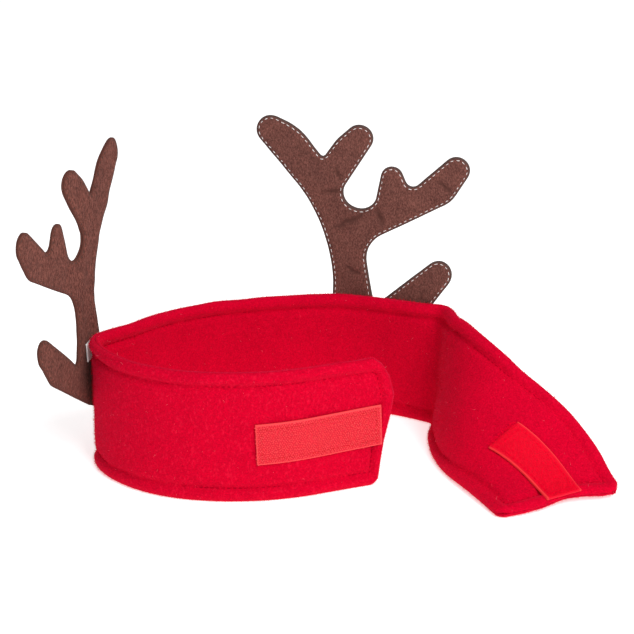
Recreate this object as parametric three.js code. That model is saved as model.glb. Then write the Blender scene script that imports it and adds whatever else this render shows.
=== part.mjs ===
// Headband of soft pile cloth with a pair of felt reindeer antlers.
// The band is open at the back of the head and closes with a strip of hook tape
// on the outside of one end and a strip of loop tape on the inside of the other.
// It stands on its lower edge as an open loop. The loop tape end has flopped
// outwards and lies on the floor with its inside up.
// Lengths are millimetres, angles are degrees, +Z is up.

import * as THREE from 'three';

// The band.
const bandLength = 600;
const bandHeight = 80;
const layerThickness = 2.4;
const clearance = 0.3;
const hemWidth = 8.5;
const endFade = 36;

// The closure tapes.
const hookTapeLength = 76;
const loopTapeLength = 47;
const hookTapeWidth = 25;
const loopTapeWidth = 23;
const tapeThickness = 1.6;
const hookTapeInset = 9;
const loopTapeInset = 2.5;

// The antlers.
const antlerHeight = 165;
const feltThickness = 1.1;
const sewnHalfWidth = 17;
const freeRise = 36;

// The blank label under the left antler.
const labelLength = 16;
const labelHeight = 12;
const labelThickness = 1.2;
const labelFront = 3.5;
const labelSlant = -8;

// Fineness of the facets, and how far the corners of a table are rounded.
const walkStep = 1;
const longestFacet = 22;
const turnPerFacet = 11;
const leanPerFacet = 13;
const arcTurnPerFacet = 19;
const headingReach = 5;
const leanReach = 16;
const climbs = 6;
const flush = 0.2;
const softSpread = [-1, -0.75, -0.5, -0.25, 0, 0.25, 0.5, 0.75, 1];

// The plan of the band's lower edge, from the hook tape end to the loop tape end.
// share: part of the band's length; turn: change of heading along the section,
// to the right when negative; lean and rake: tilt of the cloth at the section's
// end, outwards and forwards along the band; curl: how much more the upper edge
// leans out than the lower edge.
const firstHeading = 201;
const bandSections = [
  { name: 'hookEnd', share: 0.082, turn: 2, lean: 0, rake: 0, curl: 0 },
  { name: 'frontRight', share: 0.125, turn: -35, lean: 0, rake: 0, curl: 0 },
  { name: 'frontLeft', share: 0.097, turn: -41, lean: 0, rake: 0, curl: 0 },
  { name: 'leftCorner', share: 0.038, turn: -25, lean: 0, rake: 0, curl: 0 },
  { name: 'leftFold', share: 0.017, turn: -49, lean: 0, rake: 0, curl: 0 },
  { name: 'afterFold', share: 0.013, turn: -11, lean: 0, rake: 0, curl: 0 },
  { name: 'leftAntler', share: 0.048, turn: 9, lean: 0, rake: 0, curl: 0 },
  { name: 'backLeft', share: 0.052, turn: -17, lean: -1, rake: 0, curl: 0 },
  { name: 'backMiddle', share: 0.075, turn: -18, lean: -3, rake: 0, curl: 0 },
  { name: 'crown', share: 0.053, turn: -4, lean: -4, rake: 0, curl: 0 },
  { name: 'rightAntler', share: 0.093, turn: -36, lean: -5, rake: 0, curl: 0 },
  { name: 'flapRoot', share: 0.055, turn: -13, lean: -2, rake: 7, curl: 0 },
  { name: 'crease', share: 0.02, turn: -74, lean: 8, rake: -1, curl: 0 },
  { name: 'flapStart', share: 0.038, turn: 19, lean: 16, rake: 0, curl: 20 },
  { name: 'flapTurn', share: 0.082, turn: 21.5, lean: 43, rake: 0, curl: 78 },
  { name: 'flapEnd', share: 0.082, turn: 4, lean: 84, rake: 0, curl: 22 },
  { name: 'lyingEnd', share: 0.03, turn: 0, lean: 90, rake: 0, curl: 0 },
];

// The rounded ends. height: part of the band's height; hookEnd and loopEnd: how
// far that end stands back there, as part of the band's height.
const endOutline = [
  { height: 0, hookEnd: 0.175, loopEnd: 0.08 },
  { height: 0.05, hookEnd: 0.12, loopEnd: 0.03 },
  { height: 0.2, hookEnd: 0.1, loopEnd: 0.01 },
  { height: 0.35, hookEnd: 0.075, loopEnd: 0.01 },
  { height: 0.55, hookEnd: 0.025, loopEnd: 0.045 },
  { height: 0.7, hookEnd: 0, loopEnd: 0.03 },
  { height: 0.85, hookEnd: 0.04, loopEnd: 0 },
  { height: 0.95, hookEnd: 0.1, loopEnd: 0 },
  { height: 1, hookEnd: 0.165, loopEnd: 0.07 },
];

// One layer's thickness near an edge. inset: distance from the edge, as part of
// the hem's width; thickness: part of the layer's thickness.
const hemProfile = [
  { name: 'seam', inset: 0, thickness: 0.4 },
  { name: 'round', inset: 0.12, thickness: 0.82 },
  { name: 'roll', inset: 0.45, thickness: 1.04 },
  { name: 'stitchGroove', inset: 1, thickness: 0.62 },
  { name: 'puff', inset: 1.45, thickness: 1 },
];

// The antler's outline as a belt laid around round posts, clockwise from the
// base. across (towards the tines) and up: the middle of a post, and radius, all
// as parts of the antler's height; hollow: the belt passes the post's other side.
const antlerPosts = [
  { name: 'base', across: -0.055, up: 0.075, radius: 0.036, hollow: false },
  { name: 'rearBend', across: -0.736, up: 0.34, radius: 0.652, hollow: true },
  { name: 'rearTip', across: -0.307, up: 0.934, radius: 0.057, hollow: false },
  { name: 'rearBelly', across: -0.345, up: 0.772, radius: 0.22, hollow: false },
  { name: 'fork', across: -0.115, up: 0.85, radius: 0.01, hollow: true },
  { name: 'topBelly', across: 0.028, up: 0.828, radius: 0.12, hollow: false },
  { name: 'topTip', across: 0.022, up: 0.915, radius: 0.052, hollow: false },
  { name: 'topNotch', across: 0.024, up: 0.7, radius: 0.063, hollow: true },
  { name: 'thumb', across: 0.144, up: 0.768, radius: 0.042, hollow: false },
  { name: 'thumbNotch', across: 0.222, up: 0.762, radius: 0.028, hollow: true },
  { name: 'frontTip', across: 0.384, up: 0.808, radius: 0.05, hollow: false },
  { name: 'frontBelly', across: 0.282, up: 0.77, radius: 0.118, hollow: false },
  { name: 'frontBend', across: 0.158, up: 0.441, radius: 0.109, hollow: true },
  { name: 'crotch', across: 0.09, up: 0.28, radius: 0.018, hollow: true },
  { name: 'browTip', across: 0.328, up: 0.396, radius: 0.052, hollow: false },
  { name: 'browHeel', across: 0.212, up: 0.366, radius: 0.13, hollow: false },
];

// Where each antler is sewn on. share: the trunk's middle along the band;
// towards: 1 when the tines point on along the band, -1 when they point back;
// base: the height of its lower end on the band, as part of the band's height;
// rear and front: how far from the trunk's middle the felt keeps to the band, as
// part of the sewn half width, the front being the side of the tines; tilt: turn
// of the felt in its own plane; swing: turn of the free felt away from the band;
// standOff: how far the free felt stands off, as part of the antler's height.
const antlerPlaces = [
  {
    side: 'left', share: 0.345, base: 0.31, towards: -1, rear: -0.5, front: -0.25,
    tilt: -2, swing: 3, standOff: 0.006, overLabel: true,
  },
  {
    side: 'right', share: 0.657, base: 0.4, towards: 1, rear: -1, front: 1,
    tilt: 0, swing: 0, standOff: 0, overLabel: false,
  },
];

// How each closure tape lies. side: 1 outside, -1 inside; level: its middle, as
// part of the band's height; slant: turn against the band's run.
const tapePlaces = {
  hook: { side: 1, length: hookTapeLength, width: hookTapeWidth, level: 0.47, slant: -2 },
  loop: { side: -1, length: loopTapeLength, width: loopTapeWidth, level: 0.505, slant: 4 },
};

const cloth = { color: 0xd8002c, roughness: 0.95, metalness: 0 };
const liningCloth = { color: 0xc80028, roughness: 0.95, metalness: 0 };
const hookCloth = { color: 0xf04448, roughness: 0.8, metalness: 0 };
const loopCloth = { color: 0xf5142d, roughness: 0.9, metalness: 0 };
const felt = { color: 0x6e4139, roughness: 1, metalness: 0 };
const feltBack = { color: 0x5a3a34, roughness: 1, metalness: 0 };
const labelCloth = { color: 0xf2f2f0, roughness: 0.7, metalness: 0 };

const radians = THREE.MathUtils.degToRad;
const upward = new THREE.Vector3(0, 0, 1);
const rollThickness = layerThickness * Math.max(...hemProfile.map((row) => row.thickness));
const bandFace = clearance / 2 + rollThickness;

// Straight lines between the rows of a table, held level past both ends.
function tableValue(rows, key, column, at) {
  const last = rows.length - 1;
  if (at <= rows[0][key]) return rows[0][column];
  if (at >= rows[last][key]) return rows[last][column];
  const next = rows.findIndex((row) => row[key] >= at);
  const before = rows[next - 1];
  const after = rows[next];
  const portion = (at - before[key]) / (after[key] - before[key]);
  return THREE.MathUtils.lerp(before[column], after[column], portion);
}

// The mean of a table over a reach to both sides, which rounds its corners.
function softValue(rows, column, at, reach) {
  const values = softSpread.map((offset) => tableValue(rows, 'at', column, at + offset * reach));
  return values.reduce((sum, value) => sum + value, 0) / values.length;
}

const bandCourse = [{ at: 0, heading: firstHeading, lean: 0, rake: 0, curl: 0 }];
for (const section of bandSections) {
  const before = bandCourse[bandCourse.length - 1];
  bandCourse.push({
    at: before.at + section.share * bandLength,
    heading: before.heading + section.turn,
    lean: section.lean,
    rake: section.rake,
    curl: section.curl,
  });
}

// The lower edge as a row of points, one per step of the walk along it.
const footPoints = [new THREE.Vector3(0, 0, 0)];
for (let walked = walkStep / 2; walked < bandLength; walked += walkStep) {
  const heading = radians(softValue(bandCourse, 'heading', walked, headingReach));
  const step = new THREE.Vector3(Math.cos(heading), Math.sin(heading), 0);
  footPoints.push(footPoints[footPoints.length - 1].clone().addScaledVector(step, walkStep));
}

// The band's own directions at a distance along it.
function bandFrame(along) {
  const heading = radians(softValue(bandCourse, 'heading', along, headingReach));
  const lean = radians(softValue(bandCourse, 'lean', along, leanReach));
  const rake = radians(softValue(bandCourse, 'rake', along, leanReach));
  const forward = new THREE.Vector3(Math.cos(heading), Math.sin(heading), 0);
  const outward = new THREE.Vector3(-Math.sin(heading), Math.cos(heading), 0);
  const curl = radians(softValue(bandCourse, 'curl', along, leanReach));
  const place = THREE.MathUtils.clamp(along / walkStep, 0, footPoints.length - 1);
  const index = Math.min(Math.floor(place), footPoints.length - 2);
  const foot = footPoints[index].clone().lerp(footPoints[index + 1], place - index);
  foot.addScaledVector(forward, along - THREE.MathUtils.clamp(along, 0, bandLength));
  foot.addScaledVector(upward, bandFace * Math.sin(Math.max(lean - curl / 2, 0)));
  return { foot, forward, outward, lean, rake, curl };
}

// The direction in which the cloth rises at a height above its lower edge.
function riseAt(frame, height) {
  const lean = frame.lean + frame.curl * (height / bandHeight - 0.5);
  const rise = upward.clone().multiplyScalar(Math.cos(lean) * Math.cos(frame.rake));
  rise.addScaledVector(frame.outward, Math.sin(lean) * Math.cos(frame.rake));
  return rise.addScaledVector(frame.forward, Math.sin(frame.rake));
}

// A point on the band's middle face, reached by a few equal climbs up the cloth.
function middlePoint(along, height) {
  const frame = bandFrame(along);
  const climb = height / climbs;
  for (let index = 0; index < climbs; index += 1) {
    frame.foot.addScaledVector(riseAt(frame, (index + 0.5) * climb), climb);
  }
  return frame.foot;
}

// A point off the band's middle face, outwards by the given offset.
function bandPoint(along, height, offset) {
  const ahead = middlePoint(along + walkStep, height);
  const course = ahead.sub(middlePoint(along - walkStep, height));
  const face = riseAt(bandFrame(along), height).cross(course).normalize();
  return middlePoint(along, height).addScaledVector(face, offset);
}

function endInset(height, end) {
  return bandHeight * tableValue(endOutline, 'height', end, height / bandHeight);
}

// The distance along the band of a column, drawn back near the rounded ends.
function columnAt(along, height) {
  const left = bandLength - along;
  if (along < endFade) return along + endInset(height, 'hookEnd') * (1 - along / endFade);
  if (left < endFade) return along - endInset(height, 'loopEnd') * (1 - left / endFade);
  return along;
}

function layerDepth(along, height) {
  const edge = Math.min(height, bandHeight - height, along, bandLength - along);
  return layerThickness * tableValue(hemProfile, 'inset', 'thickness', edge / hemWidth);
}

// Columns close together where the band turns or leans, far apart where it is even.
function columnsBetween(from, to) {
  const columns = [];
  let spent = 0;
  for (let along = 0; along < bandLength; along += walkStep) {
    const middle = along + walkStep / 2;
    const before = middle - walkStep / 2;
    const after = middle + walkStep / 2;
    const turn = softValue(bandCourse, 'heading', after, headingReach)
      - softValue(bandCourse, 'heading', before, headingReach);
    const lean = softValue(bandCourse, 'lean', after, leanReach)
      - softValue(bandCourse, 'lean', before, leanReach);
    spent += walkStep / longestFacet + Math.abs(turn) / turnPerFacet
      + Math.abs(lean) / leanPerFacet;
    if (spent >= 1) {
      spent -= 1;
      if (after > from && after < to) columns.push(after);
    }
  }
  return columns;
}

// A list of values without the ones closer together than the least spacing.
function spaced(fixed, loose, spacing) {
  const kept = loose.filter((value) => fixed.every((hold) => Math.abs(hold - value) > spacing));
  return [...fixed, ...kept].sort((one, other) => one - other);
}

// A closed body between two grids of points that have the same columns. The
// rows of the two grids may differ in number.
function bodyBetween(topGrid, bottomGrid) {
  const points = [];
  const faces = [];
  const numbered = (grid) => grid.map((row) => row.map((point) => points.push(point) - 1));
  const top = numbered(topGrid);
  const bottom = numbered(bottomGrid);
  const cover = (grid, flipped) => {
    for (let column = 0; column + 1 < grid.length; column += 1) {
      for (let row = 0; row + 1 < grid[column].length; row += 1) {
        const near = grid[column][row];
        const far = grid[column + 1][row];
        const nearNext = grid[column][row + 1];
        const farNext = grid[column + 1][row + 1];
        if (flipped) faces.push([near, farNext, far], [near, nearNext, farNext]);
        else faces.push([near, far, farNext], [near, farNext, nearNext]);
      }
    }
  };
  // A wall between two chains of points with unlike numbers of points.
  const wall = (upper, lower) => {
    let high = 0;
    let low = 0;
    while (high + 1 < upper.length || low + 1 < lower.length) {
      const highShare = (high + 1) / (upper.length - 1);
      const lowShare = (low + 1) / (lower.length - 1);
      const climb = low + 1 >= lower.length || (high + 1 < upper.length && highShare <= lowShare);
      if (climb) faces.push([upper[high], upper[high + 1], lower[low]]);
      else faces.push([upper[high], lower[low + 1], lower[low]]);
      if (climb) high += 1;
      else low += 1;
    }
  };
  cover(top, false);
  cover(bottom, true);
  const lastTop = top.length - 1;
  wall(top[0], bottom[0]);
  wall(top[lastTop].slice().reverse(), bottom[lastTop].slice().reverse());
  const firstRow = (grid) => grid.map((column) => column[0]);
  const lastRow = (grid) => grid.map((column) => column[column.length - 1]);
  wall(firstRow(top).reverse(), firstRow(bottom).reverse());
  wall(lastRow(top), lastRow(bottom));
  return { points, faces };
}

// A mesh with its faces turned outwards.
function meshOf(name, soup, look) {
  let volume = 0;
  for (const [one, two, three] of soup.faces) {
    const cross = soup.points[two].clone().cross(soup.points[three]);
    volume += soup.points[one].dot(cross);
  }
  const faces = volume < 0 ? soup.faces.map(([one, two, three]) => [one, three, two]) : soup.faces;
  const geometry = new THREE.BufferGeometry();
  geometry.setFromPoints(soup.points);
  geometry.setIndex(faces.flat());
  geometry.computeVertexNormals();
  const material = new THREE.MeshStandardMaterial(look);
  const mesh = new THREE.Mesh(geometry, material);
  mesh.name = name;
  return mesh;
}

// The rows and columns of the band's two layers.
const hemInsets = hemProfile.map((row) => row.inset * hemWidth);
const fieldRows = [0.35, 0.5, 0.65].map((share) => share * bandHeight);
const faceRows = [
  ...hemInsets,
  ...fieldRows,
  ...hemInsets.map((inset) => bandHeight - inset).reverse(),
];
const seamRows = [0, ...fieldRows, bandHeight];
const endColumns = [...hemInsets, ...hemInsets.map((inset) => bandLength - inset).reverse()];
const bandColumns = spaced(endColumns, columnsBetween(0, bandLength), hemWidth / 2);

function bandLayer(name, side, look) {
  const face = bandColumns.map((along) => faceRows.map((height) => {
    const offset = clearance / 2 + layerDepth(along, height);
    return bandPoint(columnAt(along, height), height, side * offset);
  }));
  const seam = bandColumns.map((along) => seamRows.map(
    (height) => bandPoint(columnAt(along, height), height, side * clearance / 2),
  ));
  return meshOf(name, bodyBetween(face, seam), look);
}

// A closure tape, its middle at a distance along the band.
function closureTape(name, place, middleAlong, look) {
  const slant = radians(place.slant);
  const middleHeight = place.level * bandHeight;
  const pieces = Math.round(place.length / hemWidth);
  const columns = Array.from({ length: pieces + 1 }, (_, index) => index / pieces - 0.5);
  const rows = [-0.5, -0.25, 0, 0.25, 0.5];
  const lowest = bandFace + clearance;
  const grid = (offset) => columns.map((column) => rows.map((row) => {
    const along = column * place.length;
    const across = row * place.width;
    return bandPoint(
      middleAlong + along * Math.cos(slant) - across * Math.sin(slant),
      middleHeight + along * Math.sin(slant) + across * Math.cos(slant),
      place.side * offset,
    );
  }));
  return meshOf(name, bodyBetween(grid(lowest + tapeThickness), grid(lowest)), look);
}

// The heading of the belt's straight run from one post to the next.
function postTangent(from, to) {
  const reach = new THREE.Vector2(to.across - from.across, to.up - from.up);
  const sideStep = (to.hollow ? to.radius : -to.radius) - (from.hollow ? from.radius : -from.radius);
  return reach.angle() - Math.asin(sideStep / reach.length());
}

function antlerOutline(place) {
  const outline = [];
  const pivot = new THREE.Vector2(0, bandHeight * (1 - place.base));
  const count = antlerPosts.length;
  antlerPosts.forEach((post, index) => {
    const before = antlerPosts[(index + count - 1) % count];
    const after = antlerPosts[(index + 1) % count];
    const turning = post.hollow ? 1 : -1;
    const arriving = postTangent(before, post);
    const fullTurn = 2 * Math.PI;
    let sweep = (turning * (postTangent(post, after) - arriving)) % fullTurn;
    if (sweep < 0) sweep += fullTurn;
    const pieces = Math.max(1, Math.round(sweep / radians(arcTurnPerFacet)));
    for (let piece = 0; piece <= pieces; piece += 1) {
      const heading = arriving + turning * sweep * (piece / pieces);
      const point = new THREE.Vector2(
        antlerHeight * (post.across + turning * post.radius * Math.sin(heading)),
        antlerHeight * (post.up - turning * post.radius * Math.cos(heading)),
      );
      outline.push(point.rotateAround(pivot, radians(place.tilt)));
    }
  });
  return outline;
}

// The flat felt as triangles, none of which crosses a line where the felt bends.
function feltTriangles(outline, bendLines) {
  const points = outline.slice();
  let faces = THREE.ShapeUtils.triangulateShape(outline, []);
  for (const line of bendLines) {
    const cuts = new Map();
    const offLine = (index) => points[index][line.axis] - line.at;
    const sideOf = (index) => (Math.abs(offLine(index)) < flush ? 0 : Math.sign(offLine(index)));
    const cutBetween = (one, other) => {
      const key = [one, other].sort((low, high) => low - high).join(' ');
      if (!cuts.has(key)) {
        const portion = offLine(one) / (offLine(one) - offLine(other));
        cuts.set(key, points.push(points[one].clone().lerp(points[other], portion)) - 1);
      }
      return cuts.get(key);
    };
    faces = faces.flatMap((face) => {
      const sides = face.map(sideOf);
      if (!sides.includes(1) || !sides.includes(-1)) return [face];
      const turned = sides.includes(0)
        ? sides.indexOf(0)
        : sides.findIndex((side) => sides.filter((other) => other === side).length === 1);
      const [one, two, three] = [0, 1, 2].map((step) => face[(turned + step) % 3]);
      if (sides.includes(0)) {
        const cut = cutBetween(two, three);
        return [[one, two, cut], [one, cut, three]];
      }
      const near = cutBetween(one, two);
      const far = cutBetween(three, one);
      return [[one, near, far], [near, two, three], [near, three, far]];
    });
  }
  return { points, faces };
}

// A point of an antler. Where it is sewn on, the felt keeps to the band; above
// the band it comes free over a short rise, swings out, and is flat from there.
function antlerPoint(place, flat, offset) {
  const height = place.base * bandHeight + flat.y;
  const free = THREE.MathUtils.clamp((height - bandHeight) / freeRise, 0, 1);
  const held = sewnHalfWidth * (1 - free);
  const foremost = Math.min(place.front * sewnHalfWidth, held);
  const rearmost = Math.min(place.rear * held, foremost);
  const followed = THREE.MathUtils.clamp(flat.x, rearmost, foremost);
  const along = place.share * bandLength + place.towards * followed;
  const onBand = bandPoint(along, Math.min(height, bandHeight), offset);
  const frame = bandFrame(along);
  onBand.addScaledVector(riseAt(frame, bandHeight), Math.max(height - bandHeight, 0));
  onBand.addScaledVector(frame.outward, place.standOff * antlerHeight * free);
  const swing = radians(place.swing) * free;
  const leaving = frame.forward.clone().multiplyScalar(place.towards * Math.cos(swing));
  leaving.addScaledVector(frame.outward, Math.sin(swing));
  return onBand.addScaledVector(leaving, flat.x - followed);
}

function feltLayer(name, place, lowest, look) {
  const bandTop = bandHeight * (1 - place.base);
  const bendLines = [
    ...[-1, -0.5, 0, 0.5, 1].map((share) => ({ axis: 'x', at: share * sewnHalfWidth })),
    ...[0, 0.5, 1].map((share) => ({ axis: 'y', at: bandTop + share * freeRise })),
  ];
  const flat = feltTriangles(antlerOutline(place), bendLines);
  const inner = flat.points.map((point) => antlerPoint(place, point, lowest));
  const outer = flat.points.map((point) => antlerPoint(place, point, lowest + feltThickness));
  const count = flat.points.length;
  const steps = flat.faces.flatMap(([one, two, three]) => [[one, two], [two, three], [three, one]]);
  const known = new Set(steps.map((step) => step.join(' ')));
  const rim = steps.filter(([from, to]) => !known.has(`${to} ${from}`));
  const faces = [
    ...flat.faces.map((face) => face.map((index) => index + count)),
    ...flat.faces.map(([one, two, three]) => [one, three, two]),
    ...rim.map(([from, to]) => [to + count, from + count, from]),
    ...rim.map(([from, to]) => [to + count, from, to]),
  ];
  return meshOf(name, { points: [...inner, ...outer], faces }, look);
}

// The label, held between the left antler and the band.
function blankLabel(name, place, look) {
  const lowest = bandFace + clearance;
  const columns = [1, 0.75, 0.5, 0.25, 0].map((share) => labelFront - share * labelLength);
  const top = bandHeight * (1 - place.base) - hemWidth / 3;
  const rows = [top - labelHeight, top];
  const pivot = new THREE.Vector2(0, top);
  const turned = (across, up) => new THREE.Vector2(across, up).rotateAround(pivot, radians(labelSlant));
  const grid = (offset) => columns.map(
    (across) => rows.map((up) => antlerPoint(place, turned(across, up), offset)),
  );
  return meshOf(name, bodyBetween(grid(lowest + labelThickness), grid(lowest)), look);
}

const group = new THREE.Group();
group.name = 'reindeer_headband';
group.add(bandLayer('band_outer_layer', 1, cloth));
group.add(bandLayer('band_inner_layer', -1, liningCloth));
const hookMiddle = hookTapeInset + hookTapeLength / 2;
const loopMiddle = bandLength - loopTapeInset - loopTapeLength / 2;
group.add(closureTape('hook_tape', tapePlaces.hook, hookMiddle, hookCloth));
group.add(closureTape('loop_tape', tapePlaces.loop, loopMiddle, loopCloth));
for (const place of antlerPlaces) {
  const labelRoom = place.overLabel ? labelThickness + 2 * clearance : 0;
  const nearFace = bandFace + clearance + labelRoom;
  const farFace = nearFace + feltThickness + clearance;
  group.add(feltLayer(`antler_${place.side}_inner_felt`, place, nearFace, felt));
  group.add(feltLayer(`antler_${place.side}_outer_felt`, place, farFace, feltBack));
  if (place.overLabel) group.add(blankLabel('blank_label', place, labelCloth));
}

// The middle of the footprint becomes the origin and the lowest point the floor.
const extent = new THREE.Box3().setFromObject(group);
const middle = extent.getCenter(new THREE.Vector3());
for (const mesh of group.children) {
  mesh.geometry.translate(-middle.x, -middle.y, -extent.min.z);
}

export default group;
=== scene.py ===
"""A soft red headband with felt reindeer antlers, standing open on a pale floor.

The band is two layers of brushed pile cloth, closed by a hook tape and a loop
tape; each antler is two layers of felt. Lengths are metres, in the frame of the
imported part.
"""

import math

import bpy
import numpy as np
from bpy.props import (
    FloatProperty,
    FloatVectorProperty,
    IntProperty,
    PointerProperty,
)
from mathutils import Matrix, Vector
from mathutils.geometry import delaunay_2d_cdt


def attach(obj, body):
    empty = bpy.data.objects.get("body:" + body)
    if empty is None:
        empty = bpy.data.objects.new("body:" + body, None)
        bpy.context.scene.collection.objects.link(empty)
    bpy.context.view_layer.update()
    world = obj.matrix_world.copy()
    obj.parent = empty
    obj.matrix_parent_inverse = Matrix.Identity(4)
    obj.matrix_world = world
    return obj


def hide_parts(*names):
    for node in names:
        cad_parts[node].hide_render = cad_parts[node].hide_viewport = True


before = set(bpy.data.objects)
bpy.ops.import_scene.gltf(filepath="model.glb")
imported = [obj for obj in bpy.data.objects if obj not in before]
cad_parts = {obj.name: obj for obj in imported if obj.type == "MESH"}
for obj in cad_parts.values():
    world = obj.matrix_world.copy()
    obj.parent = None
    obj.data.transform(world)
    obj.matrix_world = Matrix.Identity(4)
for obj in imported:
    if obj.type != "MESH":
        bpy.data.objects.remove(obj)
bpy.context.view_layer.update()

bl_info = {
    "name": "Reindeer antler headband",
    "version": (1, 0, 0),
    "blender": (4, 5, 0),
    "location": "3D View > Sidebar > Headband",
    "description": "Builds a soft headband with felt antlers around its packed solids",
    "category": "Add Mesh",
}

# The plan of the band's lower edge, from the hook tape end to the loop tape end:
# part of the length, turn, and at the section's end lean, rake and curl.
BAND_SECTIONS = (
    ("hook end", 0.082, 2, 0, 0, 0),
    ("front right", 0.125, -35, 0, 0, 0),
    ("front left", 0.097, -41, 0, 0, 0),
    ("left corner", 0.038, -25, 0, 0, 0),
    ("left fold", 0.017, -49, 0, 0, 0),
    ("after fold", 0.013, -11, 0, 0, 0),
    ("left antler", 0.048, 9, 0, 0, 0),
    ("back left", 0.052, -17, -1, 0, 0),
    ("back middle", 0.075, -18, -3, 0, 0),
    ("crown", 0.053, -4, -4, 0, 0),
    ("right antler", 0.093, -36, -5, 0, 0),
    ("flap root", 0.055, -13, -2, 7, 0),
    ("crease", 0.020, -74, 8, -1, 0),
    ("flap start", 0.038, 19, 16, 0, 20),
    ("flap turn", 0.082, 21.5, 43, 0, 78),
    ("flap end", 0.082, 4, 84, 0, 22),
    ("lying end", 0.030, 0, 90, 0, 0),
)
FIRST_HEADING = 201

# The rounded ends: part of the height, and how far each end stands back there.
END_OUTLINE = (
    (0.00, 0.175, 0.080),
    (0.05, 0.120, 0.030),
    (0.20, 0.100, 0.010),
    (0.35, 0.075, 0.010),
    (0.55, 0.025, 0.045),
    (0.70, 0.000, 0.030),
    (0.85, 0.040, 0.000),
    (0.95, 0.100, 0.000),
    (1.00, 0.165, 0.070),
)

# Round posts that the antler's outline is laid around like a belt, clockwise:
# middle across and up, radius, as parts of the height, and whether it is hollow.
ANTLER_POSTS = (
    ("base", -0.055, 0.075, 0.036, False),
    ("rear bend", -0.736, 0.34, 0.652, True),
    ("rear tip", -0.307, 0.934, 0.057, False),
    ("rear belly", -0.345, 0.772, 0.22, False),
    ("fork", -0.115, 0.85, 0.01, True),
    ("top belly", 0.028, 0.828, 0.12, False),
    ("top tip", 0.022, 0.915, 0.052, False),
    ("top notch", 0.024, 0.7, 0.063, True),
    ("thumb", 0.144, 0.768, 0.042, False),
    ("thumb notch", 0.222, 0.762, 0.028, True),
    ("front tip", 0.384, 0.808, 0.05, False),
    ("front belly", 0.282, 0.77, 0.118, False),
    ("front bend", 0.158, 0.441, 0.109, True),
    ("crotch", 0.09, 0.28, 0.018, True),
    ("brow tip", 0.328, 0.396, 0.052, False),
    ("brow heel", 0.212, 0.366, 0.130, False),
)

# Creases in the felt: both ends across and up, and width, as parts of the height.
FELT_CREASES = (
    (-0.078, 0.551, 0.054, 0.635, 0.0030),
    (-0.132, 0.695, -0.024, 0.716, 0.0024),
    (0.088, 0.650, 0.108, 0.573, 0.0030),
    (-0.041, 0.407, 0.023, 0.376, 0.0024),
    (-0.061, 0.805, -0.050, 0.751, 0.0022),
    (0.311, 0.771, 0.375, 0.716, 0.0022),
)

# The two sides of the band and of an antler, with a name for each antler face that nothing reads.
BAND_SIDES = {"outer": 1, "inner": -1}
FELT_SLOTS = {"inner": "antler_felt", "outer": "antler_felt_outer"}

# A short step off a face or along it, which gives a direction there.
SHORT_STEP = 0.001

# Where each antler is sewn on: part of the band's length, base height as part of
# the band's height, which way its tines point along the band, how far the felt
# keeps to the band behind and before the trunk as parts of the sewn half width,
# tilt and swing in degrees, how far its top stands off as part of its height,
# whether it lies over the label, and the layer that is sewn in white.
ANTLER_PLACES = {
    "left": {
        "share": 0.345, "base": 0.31, "towards": -1,
        "rear": -0.5, "front": -0.25, "tilt": -2, "swing": 3, "stand_off": 0.006,
        "over_label": True, "white_face": "outer",
    },
    "right": {
        "share": 0.657, "base": 0.40, "towards": 1,
        "rear": -1.0, "front": 1.0, "tilt": 0, "swing": 0, "stand_off": 0.0,
        "over_label": False, "white_face": "inner",
    },
}

# The tapes: side of the band, level as part of its height, slant in degrees, the
# ridge along the selvedges, colours of web, selvedge and thread, and the bare
# margin outside the stitches at the long sides. The webs' colours are darker than
# the hooks and the loops: painted shade between and under them.
TAPES = {
    "hook": {
        "side": 1, "level": 0.47, "slant": -2, "ridge": 0.0,
        "web": (0.68, 0.020, 0.040), "rim": (0.90, 0.062, 0.070),
        "thread": (0.66, 0.024, 0.032), "stitch_margin": 0.0034,
    },
    "loop": {
        "side": -1, "level": 0.505, "slant": 4, "ridge": 0.0007,
        "web": (0.7216, 0.0, 0.01968), "rim": (0.86, 0.036, 0.040),
        "thread": (0.80, 0.0, 0.020), "stitch_margin": 0.0032,
    },
}

# What stands on the tapes: pitch along and across, bare margin at both ends and at
# the sides, offset of every second row, shake and its seed, the level of its roots
# as part of the tape's thickness, and how far each piece spins.
TUFTS = {
    "hook": {
        "pitch": (0.0014, 0.00125), "ends": (0.0010, 0.0010), "sides": 0.0010,
        "stagger": 0.0007, "shake": 0.00026, "seed": 6, "root": 0.8, "spin": 0.9,
    },
    "loop": {
        "pitch": (0.00042, 0.00042), "ends": (-0.0012, 0.0004), "sides": 0.0017,
        "stagger": 0.0, "shake": 0.0004, "seed": 4, "root": 0.78, "spin": 3.1,
    },
}

# Swells of the felt's surface: height as part of its thickness, size and seed.
FELT_SWELLS = ((0.10, 0.004, 40), (0.22, 0.008, 50), (0.40, 0.016, 60))

# Colours that follow no setting, as linear red, green and blue.
LINT = (0.95, 0.15, 0.21)
WHITE_THREAD = (0.86, 0.84, 0.82)
BROWN_THREAD = (0.06, 0.035, 0.028)
HOOK_PLASTIC = (1.0, 0.085, 0.095)
LOOP_FIBRE = (0.88, 0.0, 0.024)

# The lamps: place, length of the square's side and power in watts.
LAMPS = {
    "key": ((0.95, -1.5, 1.6), 1.2, 48.0),
    "fill": ((-1.5, -0.9, 1.0), 1.4, 0.8),
    "top": ((-0.1, -0.4, 1.9), 1.2, 4.0),
}
LAMP_AIM = (0.0, 0.0, 0.06)
SKY_STRENGTH = 0.36


def length_setting(name, description, default):
    """A setting that is a length in metres."""
    return FloatProperty(name=name, description=description, default=default, unit="LENGTH")


def plain_setting(name, description, default):
    """A setting without a unit."""
    return FloatProperty(name=name, description=description, default=default)


def angle_setting(name, description, degrees):
    """A setting that is an angle, given here in degrees."""
    return FloatProperty(
        name=name, description=description, default=math.radians(degrees), subtype="ANGLE"
    )


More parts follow.
